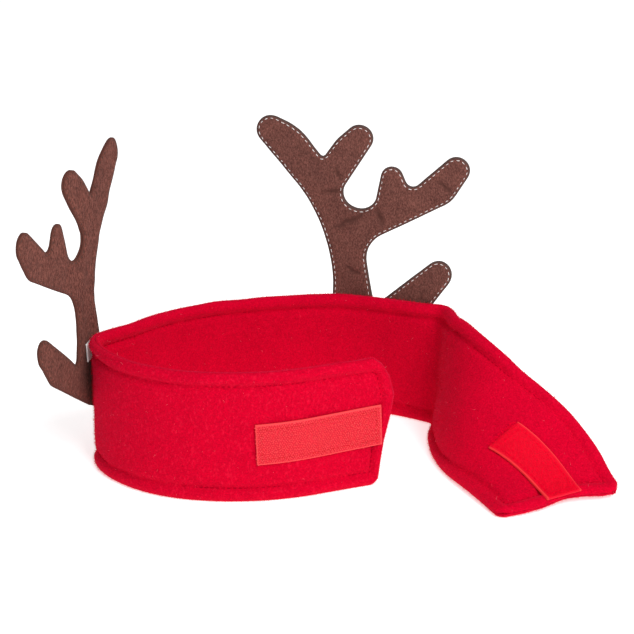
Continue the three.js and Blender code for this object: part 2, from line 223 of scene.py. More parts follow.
def place_setting(name, description, default):
    """A setting that is a point in the frame."""
    return FloatVectorProperty(
        name=name, description=description, default=default, subtype="TRANSLATION"
    )


def colour_setting(name, description, default):
    """A setting that is a colour, as linear red, green and blue."""
    return FloatVectorProperty(
        name=name, description=description, default=default, subtype="COLOR", min=0, max=1
    )


class HeadbandBandSettings(bpy.types.PropertyGroup):
    """Sizes of the band and its cloth."""

    length: length_setting("Length", "Flat length of the band", 0.600)
    height: length_setting("Height", "Height of the band from edge to edge", 0.080)
    layer: length_setting("Layer", "Thickness of one cloth layer", 0.0024)
    clearance: length_setting("Clearance", "Gap that parts keep from each other", 0.0003)
    hem: length_setting("Hem", "Distance of the row of stitches from the edge", 0.0085)
    end_fade: length_setting("End fade", "Length over which the rounded ends fade out", 0.036)
    mesh_step: length_setting("Mesh step", "Size of the mesh's faces on the cloth", 0.00125)
    origin: place_setting(
        "Origin", "Where the band's first point lies in the frame", (0.03989, -0.03076, 0.00009)
    )
    sway: length_setting("Sway", "Depth of the broad dents in the cloth", 0.0007)
    ripple: length_setting("Ripple", "Depth of the small dents in the cloth", 0.00028)
    pucker: length_setting("Pucker", "Height of the gathers beside the stitches", 0.00022)
    edge_wave: length_setting("Edge wave", "How far the edges wander up and down", 0.00045)
    colour: colour_setting("Colour", "Colour of the pile cloth", (0.60, 0.0005, 0.022))


class HeadbandPileSettings(bpy.types.PropertyGroup):
    """The brushed pile of the cloth and the lint on it."""

    density: plain_setting("Density", "Fibres per square metre", 1.9e6)
    length: length_setting("Length", "Length of a fibre", 0.00125)
    width: length_setting("Width", "Width of a fibre at its root", 0.00013)
    lint_density: plain_setting("Lint density", "Pieces of lint per square metre", 6500)
    lint_length: length_setting("Lint length", "Length of a piece of lint", 0.0019)
    seed: IntProperty(name="Seed", description="Seed of the random placing", default=7)


class HeadbandAntlerSettings(bpy.types.PropertyGroup):
    """Sizes of the felt antlers."""

    height: length_setting("Height", "Height of an antler", 0.165)
    felt: length_setting("Felt", "Thickness of one felt layer", 0.0011)
    sewn_half_width: length_setting(
        "Sewn half width", "Half the width that keeps to the band", 0.017
    )
    free_rise: length_setting("Free rise", "Height over which the felt comes free", 0.036)
    mesh_step: length_setting("Mesh step", "Size of the mesh's faces on the felt", 0.0014)
    stitch_inset: length_setting(
        "Stitch inset", "Distance of the stitches from the edge", 0.0016
    )
    stitch_length: length_setting("Stitch length", "Length of one stitch", 0.0023)
    stitch_pitch: length_setting("Stitch pitch", "Distance from stitch to stitch", 0.0037)
    bow: length_setting("Bow", "How far the felt bows out of its plane", 0.0014)
    colour: colour_setting("Colour", "Colour of the felt", (0.150, 0.058, 0.046))
    # The felt outside the stitches is painted darker: painted shade along its cut edge.
    margin: colour_setting(
        "Margin", "Colour of the felt outside the stitches", (0.080, 0.048, 0.042)
    )


class HeadbandTapeSettings(bpy.types.PropertyGroup):
    """Sizes of the closure tapes and the label."""

    thickness: length_setting("Thickness", "Thickness of both tapes", 0.0016)
    hook_width: length_setting("Hook width", "Width of the hook tape", 0.025)
    hook_length: length_setting("Hook length", "Length of the hook tape", 0.076)
    hook_inset: length_setting("Hook inset", "Distance of the hook tape from the end", 0.009)
    loop_width: length_setting("Loop width", "Width of the loop tape", 0.023)
    loop_length: length_setting("Loop length", "Length of the loop tape", 0.047)
    loop_inset: length_setting("Loop inset", "Distance of the loop tape from the end", 0.0023)
    label_length: length_setting("Label length", "Length of the blank label", 0.016)
    label_height: length_setting("Label height", "Height of the blank label", 0.012)
    label_thickness: length_setting(
        "Label thickness", "Thickness of the folded label", 0.0012
    )
    label_front: length_setting(
        "Label front", "How far its front edge stands before the trunk", 0.0035
    )
    label_slant: angle_setting("Label slant", "Turn of the label in its plane", -8)


class HeadbandStageSettings(bpy.types.PropertyGroup):
    """Floor and camera."""

    camera_distance: length_setting(
        "Camera distance", "From the camera to what it looks at", 1.2
    )
    camera_rise: angle_setting("Camera rise", "Angle of the view below the level", 20)
    look_at: place_setting(
        "Look at", "The point in the middle of the picture", (-0.0049, 0.0087, 0.089)
    )
    lens: plain_setting("Lens", "Focal length in millimetres", 114.13)
    floor_size: length_setting("Floor size", "Length of the floor's side", 14.0)


def noise(u, v, size, seed):
    """Smooth random values from -1 to 1 over a plane, with dents of a size."""
    cells = 64
    lattice = np.random.default_rng(seed).uniform(-1, 1, (cells, cells))
    u = np.asarray(u, float) / size
    v = np.asarray(v, float) / size
    left = np.floor(u).astype(int)
    low = np.floor(v).astype(int)
    across = u - left
    up = v - low
    across = across * across * (3 - 2 * across)
    up = up * up * (3 - 2 * up)

    def corner(right, top):
        return lattice[(left + right) % cells, (low + top) % cells]

    bottom = corner(0, 0) * (1 - across) + corner(1, 0) * across
    upper = corner(0, 1) * (1 - across) + corner(1, 1) * across
    return bottom * (1 - up) + upper * up


def even_steps(start, stop, step):
    """Values from start to stop in even steps no longer than a step."""
    return np.linspace(start, stop, max(2, math.ceil((stop - start) / step) + 1))


class BandShape:
    """The band's course over the floor and the cloth above it."""

    # Lengths over which two sections blend and the samples taken there, and the
    # steps in which the cloth is climbed and the course is walked.
    reach = {"heading": 0.005, "lean": 0.016, "rake": 0.016, "curl": 0.016}
    spread = np.linspace(-1, 1, 9)
    climbs = 6
    step = 0.001

    # One layer's section as parts of its thickness: its full depth, its edge, the
    # width of the rolled edge, the sewn groove and the hem's puff, the puff's place
    # as part of the hem, and the widths of both.
    full = 1.04
    edge_depth = 0.22
    roll = 1.25
    groove, groove_width = 0.62, 0.0021
    puff, puff_place, puff_width = 0.42, 0.5, 0.0030

    def __init__(self, band):
        self.band = band
        rows = np.array([row[1:] for row in BAND_SECTIONS], float)
        self.at = np.concatenate([[0], np.cumsum(rows[:, 0]) * band.length])
        turns = np.concatenate([[0], np.cumsum(rows[:, 1])])
        self.course = {"heading": np.radians(FIRST_HEADING + turns)}
        tilts = np.radians(np.vstack([np.zeros((1, 3)), rows[:, 2:5]]))
        self.course.update(zip(("lean", "rake", "curl"), tilts.T))
        step = self.step
        middles = np.arange(step / 2, band.length, step)
        heading = self.soft("heading", middles)
        self.walked = np.arange(len(middles) + 1) * step
        self.foot_x = np.concatenate([[0], np.cumsum(np.cos(heading) * step)])
        self.foot_y = np.concatenate([[0], np.cumsum(np.sin(heading) * step)])
        self.face = band.clearance / 2 + band.layer * self.full

    def soft(self, name, along):
        """A value along the band with its corners rounded."""
        reach = self.reach[name]
        values = [
            np.interp(along + offset * reach, self.at, self.course[name])
            for offset in self.spread
        ]
        return np.mean(values, axis=0)

    def frame(self, along):
        """Foot, forward and outward directions and tilts at distances along."""
        along = np.asarray(along, float)
        heading = self.soft("heading", along)
        level = np.zeros_like(heading)
        forward = np.stack([np.cos(heading), np.sin(heading), level], -1)
        outward = np.stack([-np.sin(heading), np.cos(heading), level], -1)
        lean, rake, curl = (self.soft(name, along) for name in ("lean", "rake", "curl"))
        kept = np.clip(along, 0, self.band.length)
        lift = self.face * np.sin(np.maximum(lean - curl / 2, 0))
        foot = np.stack(
            [
                np.interp(kept, self.walked, self.foot_x),
                np.interp(kept, self.walked, self.foot_y),
                lift,
            ],
            -1,
        )
        foot = foot + forward * (along - kept)[..., None]
        return foot, forward, outward, lean, rake, curl

    def rise(self, frame_at, height):
        """The direction in which the cloth rises at heights."""
        _, forward, outward, lean, rake, curl = frame_at
        tilt = lean + curl * (height / self.band.height - 0.5)
        upright = np.array([0.0, 0.0, 1.0])
        return (
            upright * (np.cos(tilt) * np.cos(rake))[..., None]
            + outward * (np.sin(tilt) * np.cos(rake))[..., None]
            + forward * np.sin(rake)[..., None]
        )

    def middle(self, along, height):
        """Points on the middle face between the two layers."""
        frame_at = self.frame(along)
        climb = height / self.climbs
        points = frame_at[0]
        for index in range(self.climbs):
            points = points + self.rise(frame_at, (index + 0.5) * climb) * climb[..., None]
        return points

    def normal(self, along, height):
        """Outward directions of the cloth."""
        step = self.step
        course = self.middle(along + step, height) - self.middle(along - step, height)
        face = np.cross(self.rise(self.frame(along), height), course)
        return face / np.linalg.norm(face, axis=-1, keepdims=True)

    def point(self, along, height, offset):
        """Points off the middle face, outwards by an offset."""
        along, height, offset = np.broadcast_arrays(
            np.asarray(along, float), np.asarray(height, float), np.asarray(offset, float)
        )
        off = self.normal(along, height) * offset[..., None]
        return self.middle(along, height) + off + np.array(self.band.origin)

    def column(self, along, height):
        """Distances along the band, drawn back near the rounded ends."""
        table = np.array(END_OUTLINE)
        share = height / self.band.height
        hook = np.interp(share, table[:, 0], table[:, 1]) * self.band.height
        loop = np.interp(share, table[:, 0], table[:, 2]) * self.band.height
        left = self.band.length - along
        near = np.clip(1 - along / self.band.end_fade, 0, 1)
        far = np.clip(1 - left / self.band.end_fade, 0, 1)
        return along + hook * near - loop * far

    def depth(self, edge):
        """Thickness of one layer at distances from its edge."""
        band = self.band
        roll = np.clip(edge / (band.layer * self.roll), 0, 1)
        rounded = self.edge_depth + (1 - self.edge_depth) * np.sqrt(1 - (1 - roll) ** 2)
        groove = self.groove * bell(edge - band.hem, self.groove_width)
        puff = self.puff * bell(edge - self.puff_place * band.hem, self.puff_width)
        return band.layer * (rounded - groove + puff)


def bell(away, width):
    """A smooth hump that is 1 in its middle and fades out over a width."""
    return np.exp(-((away / width) ** 2))


def soft_least(distances, softness):
    """The least of several distances, rounded where two are alike."""
    stack = np.stack(distances)
    return -softness * np.log(np.sum(np.exp(-stack / softness), axis=0))


def link_object(name, data):
    """An object in the scene that holds a mesh, a lamp or a lens."""
    made = bpy.data.objects.new(name, data)
    bpy.context.scene.collection.objects.link(made)
    return made


def make_object(name, points, faces, attributes=None, smooth=True):
    """A mesh object from points and faces, with attributes on its points."""
    mesh = bpy.data.meshes.new(name)
    mesh.from_pydata(np.asarray(points).tolist(), [], [list(map(int, f)) for f in faces])
    for key, values in (attributes or {}).items():
        values = np.asarray(values, np.float32)
        kind = "FLOAT_VECTOR" if values.ndim == 2 else "FLOAT"
        attribute = mesh.attributes.new(key, kind, "POINT")
        field = "vector" if values.ndim == 2 else "value"
        attribute.data.foreach_set(field, values.ravel())
    if smooth:
        mesh.shade_smooth()
    mesh.update()
    return link_object(name, mesh)


def grid_faces(index, flipped=False):
    """Quads over a grid of point numbers."""
    near, far = index[:-1, :-1], index[1:, :-1]
    near_next, far_next = index[:-1, 1:], index[1:, 1:]
    order = (near, near_next, far_next, far) if flipped else (near, far, far_next, near_next)
    return np.stack(order, -1).reshape(-1, 4).tolist()


def wall_faces(upper, lower):
    """Triangles between two chains of point numbers of unlike length."""
    faces = []
    high = low = 0
    while high + 1 < len(upper) or low + 1 < len(lower):
        high_share = (high + 1) / (len(upper) - 1)
        low_share = (low + 1) / (len(lower) - 1)
        climbs = low + 1 >= len(lower) or (high + 1 < len(upper) and high_share <= low_share)
        if climbs:
            faces.append((upper[high], upper[high + 1], lower[low]))
            high += 1
        else:
            faces.append((upper[high], lower[low + 1], lower[low]))
            low += 1
    return faces


def slab(name, top, bottom, attributes=None):
    """A closed body between two grids of points."""
    top_index = np.arange(top.shape[0] * top.shape[1]).reshape(top.shape[:2])
    bottom_index = np.arange(bottom.shape[0] * bottom.shape[1]).reshape(bottom.shape[:2])
    bottom_index = bottom_index + top_index.size
    faces = grid_faces(top_index) + grid_faces(bottom_index, flipped=True)
    faces += wall_faces(top_index[0], bottom_index[0])
    faces += wall_faces(top_index[-1][::-1], bottom_index[-1][::-1])
    faces += wall_faces(top_index[:, 0][::-1], bottom_index[:, 0][::-1])
    faces += wall_faces(top_index[:, -1], bottom_index[:, -1])
    points = np.concatenate([top.reshape(-1, 3), bottom.reshape(-1, 3)])
    made = make_object(name, points, faces, attributes)
    turn_outwards(made)
    return made


def turn_outwards(thing):
    """Turns a closed mesh's faces outwards."""
    mesh = thing.data
    mesh.calc_loop_triangles()
    points = np.zeros(len(mesh.vertices) * 3)
    corners = np.zeros(len(mesh.loop_triangles) * 3, np.int32)
    mesh.vertices.foreach_get("co", points)
    mesh.loop_triangles.foreach_get("vertices", corners)
    one, two, three = points.reshape(-1, 3)[corners.reshape(-1, 3)].transpose(1, 0, 2)
    if np.einsum("ij,ij->", one, np.cross(two, three)) < 0:
        mesh.flip_normals()


class Paint:
    """A material that is put together node by node."""

    def __init__(self, name):
        self.material = bpy.data.materials.new(name)
        self.material.use_nodes = True
        self.tree = self.material.node_tree
        self.shader = self.tree.nodes["Principled BSDF"]

    def node(self, kind, settings=None, **inputs):
        """A new node, with its settings and what goes into its sockets."""
        made = self.tree.nodes.new(kind)
        for key, value in (settings or {}).items():
            setattr(made, key, value)
        for key, value in inputs.items():
            self.put(made.inputs[key.replace("_", " ")], value)
        return made

    def put(self, socket, value):
        """Links a socket, or gives it a constant."""
        if isinstance(value, bpy.types.NodeSocket):
            self.tree.links.new(value, socket)
        else:
            socket.default_value = value

    def finish(self, **inputs):
        """Fills the shader's sockets and gives the material."""
        for key, value in inputs.items():
            self.put(self.shader.inputs[key.replace("_", " ")], value)
        return self.material

    def attribute(self, name):
        """The outputs of a mesh attribute."""
        return self.node("ShaderNodeAttribute", {"attribute_name": name}).outputs

    def noise(self, scale, detail=3.0, roughness=0.6, stretch=None):
        """Noise on the object's own coordinates."""
        vector = self.node("ShaderNodeTexCoord").outputs["Object"]
        if stretch:
            mapping = self.node("ShaderNodeMapping", Vector=vector, Scale=stretch)
            vector = mapping.outputs["Vector"]
        made = self.node(
            "ShaderNodeTexNoise", Vector=vector, Scale=scale, Detail=detail,
            Roughness=roughness,
        )
        return made.outputs[0]

    def ramp(self, factor, stops):
        """Colours that follow a factor."""
        made = self.node("ShaderNodeValToRGB")
        self.put(made.inputs[0], factor)
        bands = made.color_ramp.elements
        while len(bands) < len(stops):
            bands.new(0.5)
        for band, (at, colour) in zip(bands, stops):
            band.position = at
            band.color = (*colour, 1.0)
        return made.outputs["Color"]

    def tones(self, factor, colour, dark, light, low=0.3, high=0.7):
        """A colour from a darker to a lighter tone."""
        return self.ramp(factor, ((low, shade(colour, dark)), (high, shade(colour, light))))

    def mix(self, factor, one, two, blend="MIX"):
        """Two colours mixed by a factor."""
        made = self.node("ShaderNodeMix", {"data_type": "RGBA", "blend_type": blend})
        for socket, value in ((0, factor), (6, one), (7, two)):
            self.put(made.inputs[socket], value)
        return made.outputs[2]

    def bump(self, height, strength, distance, under=None):
        """A bumpy normal, on top of another one if there is one."""
        made = self.node(
            "ShaderNodeBump", Strength=strength, Distance=distance, Height=height
        )
        if under is not None:
            self.put(made.inputs["Normal"], under)
        return made.outputs["Normal"]

    def share(self, value, low, high, top=1.0, curve="LINEAR"):
        """How far a value lies from low to high, up to a top."""
        made = self.node(
            "ShaderNodeMapRange", {"interpolation_type": curve},
            Value=value, From_Min=low, From_Max=high, To_Max=top,
        )
        return made.outputs[0]


def shade(colour, factor):
    """A colour made lighter or darker."""
    return tuple(min(1.0, part * factor) for part in colour)


def pile_paint(name, colour, flecked):
    """Brushed pile cloth: mottled, napped, with pale flecks and a soft sheen."""
    paint = Paint(name)
    fine = paint.noise(scale=1000, detail=4.0, roughness=0.65)
    broad = paint.noise(scale=70, detail=2.0, roughness=0.5)
    mottled = paint.ramp(
        fine, ((0.34, shade(colour, 0.80)), (0.52, colour), (0.70, shade(colour, 1.22)))
    )
    clouded = paint.ramp(broad, ((0.3, (0.93, 0.93, 0.93)), (0.7, (1.0, 1.0, 1.0))))
    specks = paint.noise(scale=760, detail=2.0, roughness=0.6, stretch=(1.0, 1.0, 0.5))
    flecks = paint.share(specks, 0.54, 0.68, top=flecked)
    pale = (colour[0] * 1.4, 0.012, 0.05, 1.0)
    nap = paint.bump(paint.noise(scale=360), strength=0.45, distance=0.0010)
    return paint.finish(
        Base_Color=paint.mix(flecks, paint.mix(1.0, mottled, clouded, "MULTIPLY"), pale),
        Roughness=0.95,
        Normal=paint.bump(fine, strength=0.35, distance=0.0005, under=nap),
        Specular_IOR_Level=0.02,
        Sheen_Weight=0.48,
        Sheen_Roughness=0.45,
        Sheen_Tint=(1.0, 0.05, 0.14, 1.0),
    )


def fibre_paint(name, colour):
    """Single fibres, a little lighter and darker in patches."""
    paint = Paint(name)
    tone = paint.noise(scale=900, detail=2.0)
    return paint.finish(
        Base_Color=paint.tones(tone, colour, dark=0.9, light=1.3),
        Roughness=0.9,
        Specular_IOR_Level=0.03,
        Sheen_Weight=0.25,
        Sheen_Roughness=0.5,
        Sheen_Tint=(1.0, 0.06, 0.14, 1.0),
    )


def felt_paint(name, colour, margin, size, contrast):
    """Pressed felt with short fibres; shade is painted in its creases and along its cut edge."""
    paint = Paint(name)
    streaks = paint.noise(scale=size, detail=4.0, roughness=0.75, stretch=(1.0, 1.0, 0.55))
    patches = paint.noise(scale=85, detail=2.0, roughness=0.5)
    dark, light = shade(colour, 1 - contrast), shade(colour, 1 + 1.5 * contrast)
    body = paint.ramp(streaks, ((0.36, dark), (0.51, colour), (0.66, light)))
    clouded = paint.ramp(patches, ((0.3, (0.82, 0.82, 0.84)), (0.7, (1.0, 1.0, 1.0))))
    body = paint.mix(1.0, body, clouded, "MULTIPLY")
    edge = paint.attribute("edge_distance")["Fac"]
    inside = paint.share(edge, 0.0004, 0.0013, curve="SMOOTHSTEP")
    # Painted shade: the felt is painted darker in its creases, as deep as they are.
    body = paint.mix(paint.attribute("crease")["Fac"], body, shade(colour, 0.5) + (1.0,))
    rough = paint.noise(scale=900, detail=4.0, roughness=0.7)
    grain = paint.bump(rough, strength=0.55, distance=0.0006)
    return paint.finish(
        # Painted shade: outside the stitches the felt takes the darker edge colour.
        Base_Color=paint.mix(inside, margin + (1.0,), body),
        Roughness=0.96,
        Normal=paint.bump(streaks, strength=0.5, distance=0.0006, under=grain),
        Specular_IOR_Level=0.04,
        Sheen_Weight=0.1,
        Sheen_Roughness=0.5,
        Sheen_Tint=(0.75, 0.45, 0.4, 1.0),
    )


def tape_paint(name, colour, rim):
    """Woven tape with fine ribs across it and a selvedge of another colour."""
    paint = Paint(name)
    ribs = paint.node(
        "ShaderNodeTexWave", {"bands_direction": "X"},
        Vector=paint.attribute("tape_place")["Vector"], Scale=420.0, Distortion=0.6,
    ).outputs["Fac"]
    inside = paint.share(paint.attribute("edge_distance")["Fac"], 0.0006, 0.0011)
    body = paint.tones(ribs, colour, dark=0.86, light=1.05, low=0.0, high=0.6)
    return paint.finish(
        Base_Color=paint.mix(inside, rim + (1.0,), body),
        Roughness=0.7,
        Normal=paint.bump(ribs, strength=0.4, distance=0.0002),
        Specular_IOR_Level=0.15,
        Sheen_Weight=0.1,
        Sheen_Roughness=0.4,
        Sheen_Tint=(1.0, 0.3, 0.3, 1.0),
    )


def hook_paint(name, colour):
    """Coral monofilament with a slight gloss."""
    paint = Paint(name)
    tone = paint.noise(scale=700, detail=2.0)
    return paint.finish(
        Base_Color=paint.tones(tone, colour, dark=0.92, light=1.25),
        Roughness=0.5,
        Specular_IOR_Level=0.25,
    )


def thread_paint(name, colour, gloss=0.3):
    """Sewing thread."""
    paint = Paint(name)
    twist = paint.noise(scale=2600, detail=2.0)
    return paint.finish(
        Base_Color=paint.tones(twist, colour, dark=0.8, light=1.1),
        Roughness=0.6,
        Specular_IOR_Level=gloss,
        Sheen_Weight=gloss / 2,
    )


def label_paint(name):
    """Smooth white ribbon."""
    paint = Paint(name)
    weave = paint.noise(scale=1800, detail=2.0)
    return paint.finish(
        Base_Color=paint.ramp(weave, ((0.3, (0.78, 0.77, 0.76)), (0.7, (0.9, 0.89, 0.88)))),
        Roughness=0.45,
        Normal=paint.bump(weave, strength=0.2, distance=0.0002),
        Specular_IOR_Level=0.4,
    )


def floor_paint(name):
    """White paper that is lit from below as well, as on a photographer's table."""
    paint = Paint(name)
    tone = paint.noise(scale=3, detail=1.0)
    return paint.finish(
        Base_Color=paint.ramp(tone, ((0.0, (0.93, 0.93, 0.93)), (1.0, (0.95, 0.95, 0.95)))),
        Roughness=0.9,
        Specular_IOR_Level=0.1,
        Emission_Color=(1.0, 1.0, 1.0, 1.0),
        Emission_Strength=0.55,
    )


class Repeat:
    """A node tree that puts one small piece in many places."""

    common = {
        "Piece": "NodeSocketObject",
        "Material": "NodeSocketMaterial",
        "Seed": "NodeSocketInt",
    }

    def __init__(self, name, *sizes):
        self.tree = bpy.data.node_groups.new(name, "GeometryNodeTree")
        face = self.tree.interface
        for way in ("INPUT", "OUTPUT"):
            face.new_socket("Geometry", in_out=way, socket_type="NodeSocketGeometry")
        kinds = self.common | dict.fromkeys(sizes, "NodeSocketFloat")
        self.sockets = {
            label: face.new_socket(label, in_out="INPUT", socket_type=kind).identifier
            for label, kind in kinds.items()
        }
        self.given = self.tree.nodes.new("NodeGroupInput").outputs
        self.stop = self.tree.nodes.new("NodeGroupOutput")

    def node(self, kind, settings=None, inputs=None):
        """A new node, with its settings and what goes into its sockets."""
        made = self.tree.nodes.new(kind)
        for key, value in (settings or {}).items():
            setattr(made, key, value)
        for key, value in (inputs or {}).items():
            if isinstance(value, bpy.types.NodeSocket):
                self.tree.links.new(value, made.inputs[key])
            else:
                made.inputs[key].default_value = value
        return made

    def calculate(self, operation, one, two):
        """The outcome of two values, such as their product."""
        return self.node("ShaderNodeMath", {"operation": operation}, {0: one, 1: two}).outputs[0]

    def product(self, one, two):
        """One value times another."""
        return self.calculate("MULTIPLY", one, two)

    def attribute(self, name, kind="FLOAT_VECTOR"):
        """The values of a named attribute of the base."""
        made = self.node(
            "GeometryNodeInputNamedAttribute", {"data_type": kind}, {"Name": name}
        )
        return made.outputs[0]

    def random(self, low, high, salt):
        """A random value for each place, from the seed and a salt of its own."""
        seed = self.calculate("ADD", self.given["Seed"], float(salt))
        made = self.node(
            "FunctionNodeRandomValue", {"data_type": "FLOAT"},
            {"Min": low, "Max": high, "Seed": seed},
        )
        return next(output for output in made.outputs if output.enabled)

    def stood(self, up, along=None):
        """A rotation that stands the piece up, with its X along a direction."""
        kind = "FunctionNodeAlignRotationToVector"
        if along is None:
            return self.node(kind, {"axis": "Z"}, {"Vector": up}).outputs[0]
        run = self.node(kind, {"axis": "X"}, {"Vector": along})
        return self.node(
            kind, {"axis": "Z", "pivot_axis": "X"}, {"Rotation": run.outputs[0], "Vector": up}
        ).outputs[0]

    def turned(self, rotation, tilt, spin):
        """A rotation followed by a spin about its own Z and a tilt about its X."""
        for axis, angle in (("Z", spin), ("X", tilt)):
            euler = self.node("ShaderNodeCombineXYZ", None, {axis: angle})
            turn = self.node("FunctionNodeEulerToRotation", None, {0: euler.outputs[0]})
            rotation = self.node(
                "FunctionNodeRotateRotation", {"rotation_space": "LOCAL"},
                {0: rotation, 1: turn.outputs[0]},
            ).outputs[0]
        return rotation

    def end(self, points, rotation, scale):
        """Puts the piece on the points, makes it real and paints it."""
        piece = self.node("GeometryNodeObjectInfo", None, {"Object": self.given["Piece"]})
        placed = self.node(
            "GeometryNodeInstanceOnPoints", None,
            {
                "Points": points, "Instance": piece.outputs["Geometry"],
                "Rotation": rotation, "Scale": scale,
            },
        )
        real = self.node("GeometryNodeRealizeInstances", None, {"Geometry": placed.outputs[0]})
        painted = self.node(
            "GeometryNodeSetMaterial", None,
            {"Geometry": real.outputs[0], "Material": self.given["Material"]},
        )
        self.tree.links.new(painted.outputs[0], self.stop.inputs[0])
        return self

    def grow(self, name, base, piece, material, seed, **sizes):
        """Runs the tree on a base object and keeps the outcome as a plain mesh."""
        modifier = base.modifiers.new("repeat", "NODES")
        modifier.node_group = self.tree
        values = {"Piece": piece, "Material": material, "Seed": seed} | sizes
        for label, value in values.items():
            modifier[self.sockets[label]] = value
        base.update_tag()
        graph = bpy.context.evaluated_depsgraph_get()
        graph.update()
        mesh = bpy.data.meshes.new_from_object(base.evaluated_get(graph))
        base.modifiers.remove(modifier)
        if not mesh.polygons:
            raise RuntimeError(f"{name}: nothing grew on {base.name}")
        mesh.name = name
        return link_object(name, mesh)


def scatter_tree():
    """Fibres over a face, standing off it at random angles."""
    repeat = Repeat("scatter_on_face", "Density", "Tilt")
    density = repeat.product(repeat.given["Density"], repeat.attribute("pile", "FLOAT"))
    points = repeat.node(
        "GeometryNodeDistributePointsOnFaces", {"distribute_method": "RANDOM"},
        {"Mesh": repeat.given["Geometry"], "Density": density, "Seed": repeat.given["Seed"]},
    )
    lean = repeat.product(repeat.given["Tilt"], repeat.random(0.55, 1.15, salt=11))
    spin = repeat.random(0.0, 2 * math.pi, salt=23)
    rotation = repeat.turned(repeat.stood(points.outputs["Normal"]), lean, spin)
    return repeat.end(points.outputs["Points"], rotation, repeat.random(0.55, 1.45, salt=37))


def path_tree():
    """Stitches one after the other along a path."""
    repeat = Repeat("stitch_along_path", "Pitch")
    curve = repeat.node("GeometryNodeMeshToCurve", None, {"Mesh": repeat.given["Geometry"]})
    even = repeat.node(
        "GeometryNodeResampleCurve", {"mode": "LENGTH"},
        {"Curve": curve.outputs[0], "Length": repeat.given["Pitch"]},
    )
    tangent = repeat.node("GeometryNodeInputTangent")
    stood = repeat.stood(repeat.attribute("up"), tangent.outputs[0])
    tilt, spin = repeat.random(-0.08, 0.08, salt=5), repeat.random(-0.09, 0.09, salt=6)
    rotation = repeat.turned(stood, tilt, spin)
    return repeat.end(even.outputs[0], rotation, repeat.random(0.9, 1.1, salt=9))


def point_tree():
    """One piece on each point of a mesh, such as the hooks of a tape."""
    repeat = Repeat("piece_on_point", "Spin")
    stood = repeat.stood(repeat.attribute("up"), repeat.attribute("along"))
    spin = repeat.product(repeat.given["Spin"], repeat.random(-1.0, 1.0, salt=3))
    rotation = repeat.turned(stood, repeat.random(-0.2, 0.2, salt=4), spin)
    return repeat.end(repeat.given["Geometry"], rotation, repeat.random(0.8, 1.15, salt=8))


def bent_strip(name, length, width, bend, pieces, taper=0.85):
    """A thin strip along Z that tapers and bends over, as a fibre or a loop."""
    points = []
    faces = []
    for index in range(pieces + 1):
        share = index / pieces
        angle = bend * share
        half = width / 2 * (1 - taper * share)
        lift = length * math.sin(angle) / bend
        drift = length * (1 - math.cos(angle)) / bend
        points += [(-half, drift, lift), (half, drift, lift)]
        if index:
            low = 2 * index - 2
            faces.append((low, low + 1, low + 3, low + 2))
    return make_object(name, points, faces)


def fibre_piece(name, length, width, lean=0.3, rise=0.95):
    """One fibre as a slim triangle that leans over."""
    points = [(-width / 2, 0, 0), (width / 2, 0, 0), (0, lean * length, rise * length)]
    return make_object(name, points, [(0, 1, 2)])


def tube(name, rings):
    """A closed body over a row of rings of points."""
    points = np.concatenate(rings)
    sides = len(rings[0])
    faces = []
    for start in range(0, len(points) - sides, sides):
        for side in range(sides):
            one, two = start + side, start + (side + 1) % sides
            faces.append((one, two, two + sides, one + sides))
    faces.append(tuple(range(sides))[::-1])
    faces.append(tuple(range(len(points) - sides, len(points))))
    made = make_object(name, points, faces)
    turn_outwards(made)
    return made


def stitch_piece(name, length, width, sides=6):
    """One stitch: a short bowed roll along X that dips in at both ends."""
    # Place as part of the length, then girth and lift as parts of the width.
    stations = (
        (-0.5, 0.25, -0.45), (-0.36, 0.85, -0.05), (0.0, 1.0, 0.2),
        (0.36, 0.85, -0.05), (0.5, 0.25, -0.45),
    )
    turns = np.arange(sides) * 2 * math.pi / sides
    rings = []
    for at, girth, lift in stations:
        across = np.cos(turns) * girth * width / 2
        up = np.sin(turns) * girth * width / 2 + lift * width
        rings.append(np.stack([np.full(sides, at * length), across, up], -1))
    return tube(name, rings)


def hook_piece(name, height, width, sides=4):
    """One hook of a tape: a stem that bends over at its top."""
    # The hook's line, across and up, as parts of its height.
    path = ((0, 0), (0, 0.55), (0.144, 0.92), (0.4, 0.95), (0.528, 0.62))
    turns = np.arange(sides) * 2 * math.pi / sides
    rings = []
    for across, up in path:
        along = across * height + np.cos(turns) * width / 2
        rings.append(np.stack([along, np.sin(turns) * width / 2, np.full(sides, up * height)], -1))
    return tube(name, rings)


def drop(*things):
    """Takes helper objects out of the scene again."""
    for thing in things:
        bpy.data.objects.remove(thing, do_unlink=True)


def keep(thing, material=None):
    """Paints a finished piece and hangs it on the frame."""
    if material is not None:
        thing.data.materials.clear()
        thing.data.materials.append(material)
    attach(thing, "root")
    return thing


def path_object(name, points, ups):
    """A closed path through points, with the direction off the face at each."""
    mesh = bpy.data.meshes.new(name)
    count = len(points)
    edges = [(index, (index + 1) % count) for index in range(count)]
    mesh.from_pydata(np.asarray(points).tolist(), edges, [])
    attribute = mesh.attributes.new("up", "FLOAT_VECTOR", "POINT")
    attribute.data.foreach_set("vector", np.asarray(ups, np.float32).ravel())
    return link_object(name, mesh)


def belt_tangent(one, two):
    """Heading of the straight run from one post to the next."""
    reach_across, reach_up = two[0] - one[0], two[1] - one[1]
    side_step = (two[2] if two[3] else -two[2]) - (one[2] if one[3] else -one[2])
    reach = math.hypot(reach_across, reach_up)
    return math.atan2(reach_up, reach_across) - math.asin(side_step / reach)


